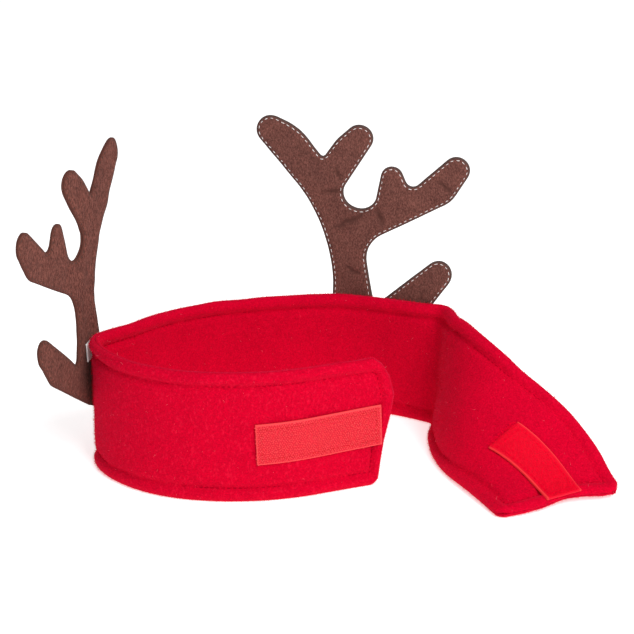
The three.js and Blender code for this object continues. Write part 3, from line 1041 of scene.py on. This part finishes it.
def antler_outline(height, inset, step):
    """The antler's outline, drawn in by an inset, as evenly spaced points."""
    posts = [
        (across * height, up * height, radius * height + (inset if hollow else -inset), hollow)
        for _, across, up, radius, hollow in ANTLER_POSTS
    ]
    outline = []
    for index, post in enumerate(posts):
        turning = 1 if post[3] else -1
        arriving = belt_tangent(posts[index - 1], post)
        leaving = belt_tangent(post, posts[(index + 1) % len(posts)])
        sweep = (turning * (leaving - arriving)) % (2 * math.pi)
        pieces = max(2, math.ceil(sweep * abs(post[2]) / step))
        for piece in range(pieces + 1):
            heading = arriving + turning * sweep * piece / pieces
            outline.append(
                (
                    post[0] + turning * post[2] * math.sin(heading),
                    post[1] - turning * post[2] * math.cos(heading),
                )
            )
    outline = np.array(outline)
    closed = np.vstack([outline, outline[:1]])
    lengths = np.linalg.norm(np.diff(closed, axis=0), axis=1)
    gone = np.concatenate([[0], np.cumsum(lengths)])
    count = round(gone[-1] / step)
    at = np.arange(count) * gone[-1] / count
    return np.stack([np.interp(at, gone, closed[:, axis]) for axis in (0, 1)], -1)


def distance_to(points, outline):
    """Distances from points to a closed outline."""
    starts = outline
    runs = np.roll(outline, -1, axis=0) - outline
    sizes = np.einsum("ij,ij->i", runs, runs)
    least = np.full(len(points), 1e9)
    for start, run, size in zip(starts, runs, sizes):
        away = points - start
        share = np.clip(away @ run / size, 0, 1)
        gap = away - share[:, None] * run
        least = np.minimum(least, np.einsum("ij,ij->i", gap, gap))
    return np.sqrt(least)


def felt_mesh_2d(antler):
    """Points and triangles of the flat felt."""
    step = antler.mesh_step
    outline = antler_outline(antler.height, 0.0, step)
    low, high = outline.min(0), outline.max(0)
    row_share, least_gap, same_point = 0.87, 0.6, 1e-7
    rows = np.arange(low[1], high[1], step * row_share)
    inner = []
    for index, up in enumerate(rows):
        across = np.arange(low[0], high[0], step) + (step / 2 if index % 2 else 0)
        inner.append(np.stack([across, np.full_like(across, up)], -1))
    inner = np.concatenate(inner)
    inside = points_inside(inner, outline)
    inner = inner[inside]
    inner = inner[distance_to(inner, outline) > least_gap * step]
    points = np.concatenate([outline, inner])
    found = delaunay_2d_cdt(
        [Vector(p) for p in points.tolist()], [], [list(range(len(outline)))], 1, same_point
    )
    flat = np.array([tuple(p) for p in found[0]])
    return flat, [tuple(face) for face in found[2]], outline


def points_inside(points, outline):
    """Which points lie inside a closed outline."""
    inside = np.zeros(len(points), bool)
    for one, two in zip(outline, np.roll(outline, -1, axis=0)):
        spans = (one[1] > points[:, 1]) != (two[1] > points[:, 1])
        with np.errstate(divide="ignore", invalid="ignore"):
            cut = (two[0] - one[0]) * (points[:, 1] - one[1]) / (two[1] - one[1]) + one[0]
        inside ^= spans & (points[:, 0] < cut)
    return inside


class AntlerShape:
    """Where an antler's flat felt lies on and above the band."""

    # The bow's size and seed, the height above the band over which it comes in,
    # and a shift of its noise across the felt.
    bow_size, bow_seed, bow_rise, bow_shift = 0.055, 31, 0.05, 0.3

    def __init__(self, shape, antler, tape, place):
        self.shape = shape
        self.antler = antler
        self.place = place
        room = tape.label_thickness + 2 * shape.band.clearance if place["over_label"] else 0.0
        self.nearest = shape.face + shape.band.clearance + room

    def turned(self, flat):
        """Points of the flat felt, turned in its plane about the trunk."""
        tilt = math.radians(self.place["tilt"])
        pivot = np.array([0.0, self.shape.band.height * (1 - self.place["base"])])
        turn = np.array([[math.cos(tilt), math.sin(tilt)], [-math.sin(tilt), math.cos(tilt)]])
        return (flat - pivot) @ turn + pivot

    def point(self, flat, offset, bowed=True):
        """Points of the felt, off the band's middle face by an offset."""
        place, antler, band = self.place, self.antler, self.shape.band
        height = place["base"] * band.height + flat[:, 1]
        above = np.maximum(height - band.height, 0)
        free = np.clip(above / antler.free_rise, 0, 1)

        # The felt follows the band's curve between these two, and leaves it
        # straight on outside them.
        foremost = antler.sewn_half_width * np.minimum(place["front"], 1 - free)
        rearmost = np.minimum(place["rear"] * antler.sewn_half_width * (1 - free), foremost)
        followed = np.clip(flat[:, 0], rearmost, foremost)
        along = place["share"] * band.length + place["towards"] * followed
        on_band = self.shape.point(along, np.minimum(height, band.height), offset)

        # Above the band's top edge it rises on, swings out and stands off.
        frame_at = self.shape.frame(along)
        forward, outward = frame_at[1], frame_at[2]
        rise = self.shape.rise(frame_at, np.full_like(height, band.height))
        swing = np.radians(place["swing"]) * free
        leaving = forward * (place["towards"] * np.cos(swing))[:, None]
        leaving = leaving + outward * np.sin(swing)[:, None]
        out = place["stand_off"] * antler.height * free
        if bowed:
            waves = noise(flat[:, 0] + self.bow_shift, flat[:, 1], self.bow_size, self.bow_seed)
            out = out + antler.bow * waves * np.clip(above / self.bow_rise, 0, 1)
        on_band = on_band + rise * above[:, None]
        on_band = on_band + leaving * (flat[:, 0] - followed)[:, None]
        return on_band + outward * out[:, None]


def crease_depth(flat, antler):
    """How deep the felt is creased at its points, as a share of 1."""
    # How far a crease wanders, over how long a stretch, its breadth for its width,
    # the seed, and how far short of nothing it fades at its ends.
    wander, stretch, breadth, seed, fade = 0.006, 0.02, 3.0, 5, 0.05
    depth = np.zeros(len(flat))
    scaled = flat / antler.height
    for across, up, far_across, far_up, width in FELT_CREASES:
        start = np.array([across, up])
        run = np.array([far_across, far_up]) - start
        share = np.clip((scaled - start) @ run / (run @ run), 0, 1)
        drift = wander * noise(share * 0.1 + across, share * 0.1 + up, stretch, seed)
        side = np.array([-run[1], run[0]]) / np.linalg.norm(run)
        gap = scaled - start - share[:, None] * run - drift[:, None] * side
        strength = np.sin(np.pi * (share * (1 - 2 * fade) + fade))
        depth = np.maximum(depth, strength * bell(np.linalg.norm(gap, axis=1), breadth * width))
    return depth


def felt_waves(flat, layer_seed):
    """How far the felt's surface swells and dips, as shares of its thickness."""
    return sum(
        height * noise(flat[:, 0], flat[:, 1], size, seed + layer_seed)
        for height, size, seed in FELT_SWELLS
    )


class HeadbandOperator:
    """What the operators share."""

    bl_options = {"REGISTER", "UNDO"}

    def settings(self, context, *names):
        """The groups of settings with these names."""
        return (getattr(context.scene, f"headband_{name}") for name in names)


class HEADBAND_OT_band(HeadbandOperator, bpy.types.Operator):
    """Build the two cloth layers of the band."""

    bl_idname = "headband.band"
    bl_label = "Band layers"

    # The mesh's rows near the edge, where its even rows begin, and the share of
    # its columns and the number of its rows on the hidden face.
    edge_rows = np.array([0.0, 0.00025, 0.0006, 0.0011])
    even_from = 0.0018
    hidden_share, hidden_rows = 4, 9

    # Sizes of the dents: broad, small, fine, of the gathers and of the edge's wave.
    sway_size, ripple_size, fine_size = 0.05, 0.012, 0.0035
    gather_size, gather_reach, wave_size = 0.0045, 0.005, 0.016

    # How far in the broad dents are full, as part of the hem, the fine ones' depth
    # as part of the small ones', and the slant of the gathers.
    sway_reach, fine_share, gather_slant = 1.6, 0.35, 0.4

    # Rounding of the corners, the smooth rim, the height over which the edge's
    # wave comes in, and the least thickness.
    corner_softness, smooth_rim, wave_rise, least_depth = 0.0006, 0.003, 0.02, 0.0002

    def execute(self, context):
        shape = BandShape(context.scene.headband_band)
        for name, side in BAND_SIDES.items():
            self.layer(shape, name, side)
        return {"FINISHED"}

    def dents(self, band, along, height, edge, seed):
        """How far the cloth swells and dips, away from its rim."""
        inner = np.clip(edge / (self.sway_reach * band.hem), 0, 1)
        dents = band.sway * noise(along, height, self.sway_size, seed) * inner
        dents = dents + band.ripple * noise(along, height, self.ripple_size, seed + 1)
        fine = self.fine_share * band.ripple
        dents = dents + fine * noise(along, height, self.fine_size, seed + 2)
        slanted = (along + self.gather_slant * height, self.gather_slant * along + height)
        gathers = band.pucker * noise(*slanted, self.gather_size, seed + 3)
        dents = dents + gathers * bell(edge - band.hem, self.gather_reach)
        return dents * np.clip(edge / self.smooth_rim, 0, 1)

    def layer(self, shape, name, side):
        """One layer of cloth: its shown face, and a flat hidden one."""
        band = shape.band
        columns = even_steps(0.0, band.length, band.mesh_step)
        even_rows = even_steps(self.even_from, band.height - self.even_from, band.mesh_step)
        rows = np.concatenate([self.edge_rows, even_rows, band.height - self.edge_rows[::-1]])
        along, height = np.meshgrid(columns, rows, indexing="ij")
        edge = [height, band.height - height, along, band.length - along]
        edge = np.maximum(soft_least(edge, self.corner_softness), 0)
        dents = self.dents(band, along, height, edge, seed=3 if side > 0 else 11)
        depth = np.maximum(shape.depth(edge) + dents, self.least_depth)
        wave = band.edge_wave * noise(along, 0 * along, self.wave_size, seed=21)
        wave = wave * (2 * height / band.height - 1) ** 3 * np.clip(height / self.wave_rise, 0, 1)
        placed = shape.column(along, height)
        top = shape.point(placed, height + wave, side * (band.clearance / 2 + depth))
        top[..., 2] = np.maximum(top[..., 2], band.origin[2])
        whole = (len(columns) - 1) % self.hidden_share == 0
        far_columns = columns[::self.hidden_share] if whole else columns
        picked = np.linspace(0, len(rows) - 1, self.hidden_rows).round().astype(int)
        far, high = np.meshgrid(far_columns, rows[picked], indexing="ij")
        bottom = shape.point(shape.column(far, high), high, side * band.clearance / 2)
        pile = np.concatenate([np.ones(along.size), np.zeros(far.size)])
        made = slab(f"band_{name}_cloth", top, bottom, {"pile": pile})
        colour = shade(tuple(band.colour), 0.95 if side > 0 else 1.0)
        painted = pile_paint(f"pile_{name}", colour, flecked=0.40 if side > 0 else 0.14)
        keep(made, painted)
        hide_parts(f"band_{name}_layer")


class HEADBAND_OT_pile(HeadbandOperator, bpy.types.Operator):
    """Grow the brushed pile and the lint on the band."""

    bl_idname = "headband.pile"
    bl_label = "Pile and lint"

    pile_tilt, quick_share = 1.05, 0.25
    lint_width, lint_bend, lint_pieces, lint_tilt = 0.0001, 1.8, 5, 1.35

    def execute(self, context):
        band, pile = self.settings(context, "band", "pile")
        tree = scatter_tree()
        fibre = fibre_piece("fibre", pile.length, pile.width)
        lint = bent_strip(
            "lint", pile.lint_length, self.lint_width, self.lint_bend, self.lint_pieces
        )
        fibres = fibre_paint("pile_fibre", tuple(band.colour))
        specks = thread_paint("lint_fibre", LINT)
        density = pile.density * 1.0
        for name, side in BAND_SIDES.items():
            base = bpy.data.objects[f"band_{name}_cloth"]
            grown = tree.grow(
                f"band_{name}_pile", base, fibre, fibres, pile.seed,
                Density=density, Tilt=self.pile_tilt,
            )
            keep(grown)
            grown = tree.grow(
                f"band_{name}_lint", base, lint, specks, pile.seed + side,
                Density=pile.lint_density, Tilt=self.lint_tilt,
            )
            keep(grown)
        drop(fibre, lint)
        return {"FINISHED"}


class HEADBAND_OT_seams(HeadbandOperator, bpy.types.Operator):
    """Sew the row of stitches round the band."""

    bl_idname = "headband.seams"
    bl_label = "Band stitches"

    # The stitches' size and pitch, how far they sink, their path's step, and the share of the
    # cloth's colour that paints the thread as the groove's shade.
    stitch_length, stitch_width, pitch = 0.0026, 0.0005, 0.0033
    sunk, path_step, thread_tone = 0.00008, 0.002, 0.62

    def execute(self, context):
        band, pile = self.settings(context, "band", "pile")
        shape = BandShape(band)
        tree = path_tree()
        stitch = stitch_piece("band_stitch", self.stitch_length, self.stitch_width)
        # Painted shade: the thread is painted darker than the cloth so that it reads as the shade
        # in the groove.
        colour = shade(tuple(band.colour), self.thread_tone)
        thread = thread_paint("band_thread", colour, gloss=0.0)
        path = self.path(band)
        placed = shape.column(path[:, 0], path[:, 1])
        lift = band.clearance / 2 + shape.depth(np.full(len(path), band.hem)) - self.sunk
        for name, side in BAND_SIDES.items():
            points = shape.point(placed, path[:, 1], side * lift)
            ups = shape.normal(placed, path[:, 1]) * side
            line = path_object(f"line_{name}", points, ups)
            sewn = tree.grow(
                f"band_{name}_stitches", line, stitch, thread, pile.seed, Pitch=self.pitch
            )
            keep(sewn)
            drop(line)
        drop(stitch)
        return {"FINISHED"}

    def path(self, band):
        """The row's places on the flat band, along and up, once round."""
        inset = band.hem
        along = even_steps(inset, band.length - inset, self.path_step)
        height = even_steps(inset, band.height - inset, self.path_step)
        lower = np.stack([along, np.full_like(along, inset)], -1)
        upper = np.stack([along, np.full_like(along, band.height - inset)], -1)
        far = np.stack([np.full_like(height, band.length - inset), height], -1)
        near = np.stack([np.full_like(height, inset), height], -1)
        return np.concatenate([lower, far[1:], upper[::-1][1:], near[::-1][1:-1]])


class HEADBAND_OT_antlers(HeadbandOperator, bpy.types.Operator):
    """Cut, bend and sew the felt antlers."""

    bl_idname = "headband.antlers"
    bl_label = "Felt antlers"

    # The felt's section as parts of its thickness: level at the edge, the stitches'
    # groove, the puff inside them at a multiple of their inset, and the creases.
    edge_level, edge_roll = 0.55, 0.0007
    groove, groove_width = 0.3, 0.0008
    puff, puff_place, puff_width = 0.18, 2.2, 0.002
    crease_cut, left_creases = 0.7, 0.35

    # The stitches: level in the groove, lift off it, width and step of their path.
    sewn_level, lift, stitch_width, path_step = 0.77, 0.00004, 0.00038, 0.0018

    def execute(self, context):
        band, pile, antler, tape = self.settings(context, "band", "pile", "antler", "tape")
        shape = BandShape(band)
        flat, triangles, outline = felt_mesh_2d(antler)
        edge = distance_to(flat, outline)
        crease = crease_depth(flat, antler)
        tree = path_tree()
        stitch = stitch_piece("felt_stitch", antler.stitch_length, self.stitch_width)
        white = thread_paint("white_thread", WHITE_THREAD)
        brown = thread_paint("brown_thread", BROWN_THREAD, gloss=0.1)
        # Outside the stitches each antler's felt is painted darker, a painted shade along its cut
        # edge.
        colour, margin = tuple(antler.colour), tuple(antler.margin)
        dark = tuple(part * tone for part, tone in zip(colour, (0.94, 0.84, 0.80)))
        paints = {
            "left": felt_paint("felt_left", dark, shade(dark, 0.7), size=900, contrast=0.55),
            "right": felt_paint(
                "felt_right", shade(colour, 0.95), margin, size=1250, contrast=0.42
            ),
        }
        for side, place in ANTLER_PLACES.items():
            sewn = AntlerShape(shape, antler, tape, place)
            turned = sewn.turned(flat)
            depth = crease * (1.0 if side == "right" else self.left_creases)
            for layer in FELT_SLOTS:
                self.felt(sewn, side, layer, turned, triangles, edge, depth, paints[side])
            for layer in FELT_SLOTS:
                thread = white if layer == place["white_face"] else brown
                self.stitches(sewn, side, layer, tree, stitch, thread, pile)
        drop(stitch)
        return {"FINISHED"}

    def felt(self, sewn, side, layer, flat, triangles, edge, crease, painted):
        """One layer of felt, with its relief on the face that shows."""
        antler, band = sewn.antler, sewn.shape.band
        index = 1 if layer == "outer" else 0
        near = sewn.nearest + index * (antler.felt + band.clearance)
        rounded = np.sqrt(1 - (1 - np.clip(edge / self.edge_roll, 0, 1)) ** 2)
        groove = self.groove * bell(edge - antler.stitch_inset, self.groove_width)
        puff = self.puff * bell(edge - self.puff_place * antler.stitch_inset, self.puff_width)
        relief = self.edge_level + (1 - self.edge_level) * rounded - groove + puff
        relief = relief + felt_waves(flat, index) - self.crease_cut * crease
        shown = near + (antler.felt * relief if index else antler.felt * (1 - relief))
        hidden = near + (0.0 if index else antler.felt)
        seen = sewn.point(flat, shown)
        back = sewn.point(flat, np.full(len(flat), hidden))
        outer, inner = (seen, back) if index else (back, seen)
        count = len(flat)
        steps = {(face[k], face[(k + 1) % 3]) for face in triangles for k in range(3)}
        rim = [step for step in steps if (step[1], step[0]) not in steps]
        faces = [tuple(corner + count for corner in face) for face in triangles]
        faces += [face[::-1] for face in triangles]
        faces += [(two + count, one + count, one, two) for one, two in rim]
        attributes = {
            "edge_distance": np.tile(edge, 2),
            # The creases' depth, which the felt's paint turns into painted shade in them.
            "crease": np.tile(np.clip(crease, 0, 1), 2),
        }
        made = make_object(
            f"antler_{side}_{layer}", np.concatenate([inner, outer]), faces, attributes
        )
        turn_outwards(made)
        keep(made, painted)
        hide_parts(f"antler_{side}_{layer}_felt")

    def stitches(self, sewn, side, layer, tree, stitch, thread, pile):
        """The row of stitches round one face of an antler."""
        antler, band = sewn.antler, sewn.shape.band
        line = sewn.turned(antler_outline(antler.height, antler.stitch_inset, self.path_step))
        outwards = 1 if layer == "outer" else -1
        surface = antler.felt * (self.sewn_level + felt_waves(line, 1 if outwards > 0 else 0))
        stack = band.clearance if outwards > 0 else 0.0
        off = sewn.nearest + antler.felt + stack + outwards * (surface + self.lift)
        points = sewn.point(line, off)
        ups = (sewn.point(line, off + SHORT_STEP) - points) * outwards
        path = path_object(f"path_{side}_{layer}", points, ups)
        grown = tree.grow(
            f"antler_{side}_{layer}_stitches", path, stitch, thread, pile.seed,
            Pitch=antler.stitch_pitch,
        )
        keep(grown)
        drop(path)


class TapeShape:
    """Where a tape lies on the band."""

    def __init__(self, shape, tape, kind, length, width, middle):
        self.shape = shape
        self.tape = tape
        self.kind = kind
        self.place = TAPES[kind]
        self.side = self.place["side"]
        self.half_length = length / 2
        self.half_width = width / 2
        self.middle = middle

    def grid(self, ends, sides, pitch):
        """A grid of places along and across the tape, inside bare margins."""
        run = even_steps(-self.half_length + ends[0], self.half_length - ends[1], pitch[0])
        rise = even_steps(-self.half_width + sides, self.half_width - sides, pitch[1])
        return np.meshgrid(run, rise, indexing="ij")

    def point(self, along, across, lift):
        """Points on the tape, lifted off its underside."""
        slant = math.radians(self.place["slant"])
        cosine, sine = math.cos(slant), math.sin(slant)
        off = self.shape.face + self.shape.band.clearance + lift
        return self.shape.point(
            self.middle + along * cosine - across * sine,
            self.place["level"] * self.shape.band.height + along * sine + across * cosine,
            self.side * off,
        )


class HEADBAND_OT_tapes(HeadbandOperator, bpy.types.Operator):
    """Make the hook tape and the loop tape."""

    bl_idname = "headband.tapes"
    bl_label = "Closure tapes"

    # The web's mesh, its rounded edge, its level under the tufts as part of the
    # thickness, and how far in and how wide the ridge along a selvedge is.
    mesh_step = (0.001, 0.0007)
    edge_roll, edge_level, web_level = 0.0006, 0.75, 0.8
    ridge_place, ridge_width = 0.0009, 0.0006

    hook_height, hook_width = 0.0011, 0.00036
    loop_length, loop_width, loop_bend, loop_pieces = 0.0014, 0.00020, 2.4, 3

    # The stitches: size and pitch, distance from the ends, points on each side of
    # the row, and level as part of the tape's thickness.
    stitch_length, stitch_width, stitch_pitch = 0.0022, 0.00055, 0.0031
    stitch_ends, side_points, stitch_level = 0.0034, 24, 0.84

    def execute(self, context):
        band, pile, tape = self.settings(context, "band", "pile", "tape")
        shape = BandShape(band)
        hook_middle = tape.hook_inset + tape.hook_length / 2
        loop_middle = band.length - tape.loop_inset - tape.loop_length / 2
        hook = TapeShape(shape, tape, "hook", tape.hook_length, tape.hook_width, hook_middle)
        loop = TapeShape(shape, tape, "loop", tape.loop_length, tape.loop_width, loop_middle)
        self.web(hook)
        self.web(loop)
        piece = hook_piece("hook", self.hook_height, self.hook_width)
        self.tufts(hook, "hooks", piece, hook_paint("hook_plastic", HOOK_PLASTIC), pile)
        piece = bent_strip(
            "loop", self.loop_length, self.loop_width, self.loop_bend, self.loop_pieces
        )
        self.tufts(loop, "loops", piece, fibre_paint("loop_fibre", LOOP_FIBRE), pile)
        self.stitches(hook, pile)
        self.stitches(loop, pile)
        return {"FINISHED"}

    def web(self, laid):
        """The woven body of a tape."""
        tape, place, slot = laid.tape, laid.place, f"{laid.kind}_tape"
        along, across = laid.grid((0.0, 0.0), 0.0, self.mesh_step)
        side_edge = laid.half_width - np.abs(across)
        edge = np.minimum(side_edge, laid.half_length - np.abs(along))
        rounded = self.edge_level + (1 - self.edge_level) * np.clip(edge / self.edge_roll, 0, 1)
        ridge = place["ridge"] * bell(side_edge - self.ridge_place, self.ridge_width)
        top = laid.point(along, across, tape.thickness * self.web_level * rounded + ridge)
        bottom = laid.point(along, across, np.zeros_like(along))
        flat_place = np.stack([along, across, 0 * along], -1).reshape(-1, 3)
        rim = side_edge if place["ridge"] else edge
        attributes = {
            "edge_distance": np.tile(rim.ravel(), 2),
            "tape_place": np.tile(flat_place, (2, 1)),
        }
        made = slab(f"{slot}_web", top, bottom, attributes)
        # The web's colour holds painted shade between and under the hooks and loops.
        keep(made, tape_paint(f"{laid.kind}_web", place["web"], place["rim"]))
        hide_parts(slot)

    def tufts(self, laid, name, piece, painted, pile):
        """Sets one small piece on each point of a shaken grid on a tape."""
        rule = TUFTS[laid.kind]
        along, across = laid.grid(rule["ends"], rule["sides"], rule["pitch"])
        along = along + rule["stagger"] * (np.arange(along.shape[1]) % 2)
        rng = np.random.default_rng(rule["seed"])
        shift = rng.uniform(-rule["shake"], rule["shake"], (2, *along.shape))
        along, across = along + shift[0], across + shift[1]
        off = np.full_like(along, laid.tape.thickness * rule["root"])
        points = laid.point(along, across, off).reshape(-1, 3)
        ups = laid.point(along, across, off + SHORT_STEP).reshape(-1, 3) - points
        runs = laid.point(along + SHORT_STEP, across, off).reshape(-1, 3) - points
        directions = {"up": ups, "along": runs}
        base = make_object(f"{laid.kind}_points", points, [], directions, smooth=False)
        grown = point_tree().grow(
            f"{laid.kind}_tape_{name}", base, piece, painted, pile.seed, Spin=rule["spin"]
        )
        keep(grown)
        drop(base, piece)

    def stitches(self, laid, pile):
        """The row of stitches round a tape."""
        slot = f"{laid.kind}_tape"
        run = laid.half_length - self.stitch_ends
        rise = laid.half_width - laid.place["stitch_margin"]
        corners = np.array([(-run, -rise), (run, -rise), (run, rise), (-run, rise)])
        share = np.linspace(0, 1, self.side_points, endpoint=False)[:, None]
        line = np.concatenate(
            [
                one * (1 - share) + two * share
                for one, two in zip(corners, np.roll(corners, -1, axis=0))
            ]
        )
        off = np.full(len(line), laid.tape.thickness * self.stitch_level)
        points = laid.point(line[:, 0], line[:, 1], off)
        ups = laid.point(line[:, 0], line[:, 1], off + SHORT_STEP) - points
        path = path_object(f"path_{slot}", points, ups)
        stitch = stitch_piece("tape_stitch", self.stitch_length, self.stitch_width)
        thread = thread_paint(f"{slot}_thread", laid.place["thread"], gloss=0.0)
        grown = path_tree().grow(
            f"{slot}_stitches", path, stitch, thread, pile.seed, Pitch=self.stitch_pitch
        )
        keep(grown)
        drop(path, stitch)


class HEADBAND_OT_label(HeadbandOperator, bpy.types.Operator):
    """Make the blank label under the left antler."""

    bl_idname = "headband.label"
    bl_label = "Blank label"

    # The mesh's step, the ribbon's faces as parts of its thickness, and its waves.
    mesh_step, shown_level, hidden_level = 0.0006, 0.9, 0.3
    wave, wave_size, wave_seed = 0.0002, 0.008, 2

    def execute(self, context):
        band, antler, tape = self.settings(context, "band", "antler", "tape")
        shape = BandShape(band)
        place = ANTLER_PLACES["left"]
        sewn = AntlerShape(shape, antler, tape, place)
        run = even_steps(tape.label_front - tape.label_length, tape.label_front, self.mesh_step)
        rise = even_steps(-tape.label_height, 0.0, self.mesh_step)
        across, up = np.meshgrid(run, rise, indexing="ij")
        cosine, sine = math.cos(tape.label_slant), math.sin(tape.label_slant)
        top_edge = band.height * (1 - place["base"]) - band.hem / 3
        flat_across = (across * cosine - up * sine).ravel()
        flat_up = (across * sine + up * cosine).ravel() + top_edge
        flat = np.stack([flat_across, flat_up], -1)
        wave = self.wave * noise(flat_across, flat_up, self.wave_size, self.wave_seed)
        top, bottom = (
            sewn.point(
                flat, shape.face + band.clearance + level * tape.label_thickness + wave,
                bowed=False,
            ).reshape(*across.shape, 3)
            for level in (self.shown_level, self.hidden_level)
        )
        made = slab("blank_label_ribbon", top, bottom)
        keep(made, label_paint("label_ribbon"))
        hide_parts("blank_label")
        return {"FINISHED"}


class HEADBAND_OT_stage(HeadbandOperator, bpy.types.Operator):
    """Lay the floor and set the light and the camera."""

    bl_idname = "headband.stage"
    bl_label = "Floor, light and camera"

    def execute(self, context):
        scene = context.scene
        stage = scene.headband_stage
        half = stage.floor_size / 2
        corners = [(-half, -half, 0), (half, -half, 0), (half, half, 0), (-half, half, 0)]
        floor = make_object("floor", corners, [(0, 1, 2, 3)], smooth=False)
        floor.data.materials.append(floor_paint("paper"))
        self.world(scene)
        for name, (place, size, power) in LAMPS.items():
            self.lamp(name, place, size, power)
        self.camera(scene, stage)
        scene.view_settings.view_transform = "Standard"
        scene.view_settings.look = "None"
        return {"FINISHED"}

    def world(self, scene):
        """A plain white sky."""
        world = bpy.data.worlds.new("studio")
        world.use_nodes = True
        back = world.node_tree.nodes["Background"]
        back.inputs["Color"].default_value = (1.0, 1.0, 1.0, 1.0)
        back.inputs["Strength"].default_value = SKY_STRENGTH
        scene.world = world

    def lamp(self, name, place, size, power):
        """A square lamp that is turned to the headband."""
        lamp = bpy.data.lights.new(name, "AREA")
        lamp.size = size
        lamp.energy = power
        self.aim(link_object(name, lamp), Vector(place), Vector(LAMP_AIM) - Vector(place))

    def aim(self, holder, place, towards):
        """Puts a lamp or the camera in its place and points it."""
        holder.location = place
        holder.rotation_mode = "QUATERNION"
        holder.rotation_quaternion = towards.to_track_quat("-Z", "Y")

    def camera(self, scene, stage):
        """The camera at the photo's angle."""
        lens = bpy.data.cameras.new("view")
        lens.lens = stage.lens
        lens.sensor_width = 36.0
        lens.clip_end = 50.0
        back = Vector((0.0, -math.cos(stage.camera_rise), math.sin(stage.camera_rise)))
        holder = link_object("view", lens)
        self.aim(holder, Vector(stage.look_at) + back * stage.camera_distance, -back)
        scene.camera = holder


class HEADBAND_PT_panel(bpy.types.Panel):
    """The steps that build the headband, in their order."""

    bl_label = "Headband"
    bl_idname = "HEADBAND_PT_panel"
    bl_space_type = "VIEW_3D"
    bl_region_type = "UI"
    bl_category = "Headband"

    def draw(self, context):
        column = self.layout.column()
        for operator in STEPS:
            column.operator(operator.bl_idname)


STEPS = (
    HEADBAND_OT_band,
    HEADBAND_OT_pile,
    HEADBAND_OT_seams,
    HEADBAND_OT_antlers,
    HEADBAND_OT_tapes,
    HEADBAND_OT_label,
    HEADBAND_OT_stage,
)
SETTINGS = {
    "headband_band": HeadbandBandSettings,
    "headband_pile": HeadbandPileSettings,
    "headband_antler": HeadbandAntlerSettings,
    "headband_tape": HeadbandTapeSettings,
    "headband_stage": HeadbandStageSettings,
}


def register():
    for name, settings in SETTINGS.items():
        bpy.utils.register_class(settings)
        setattr(bpy.types.Scene, name, PointerProperty(type=settings))
    for operator in STEPS:
        bpy.utils.register_class(operator)
    bpy.utils.register_class(HEADBAND_PT_panel)


def unregister():
    bpy.utils.unregister_class(HEADBAND_PT_panel)
    for operator in reversed(STEPS):
        bpy.utils.unregister_class(operator)
    for name, settings in SETTINGS.items():
        delattr(bpy.types.Scene, name)
        bpy.utils.unregister_class(settings)


def main():
    register()
    bpy.ops.headband.band()
    bpy.ops.headband.pile()
    bpy.ops.headband.seams()
    bpy.ops.headband.antlers()
    bpy.ops.headband.tapes()
    bpy.ops.headband.label()
    bpy.ops.headband.stage()


if __name__ == "__main__":
    main()
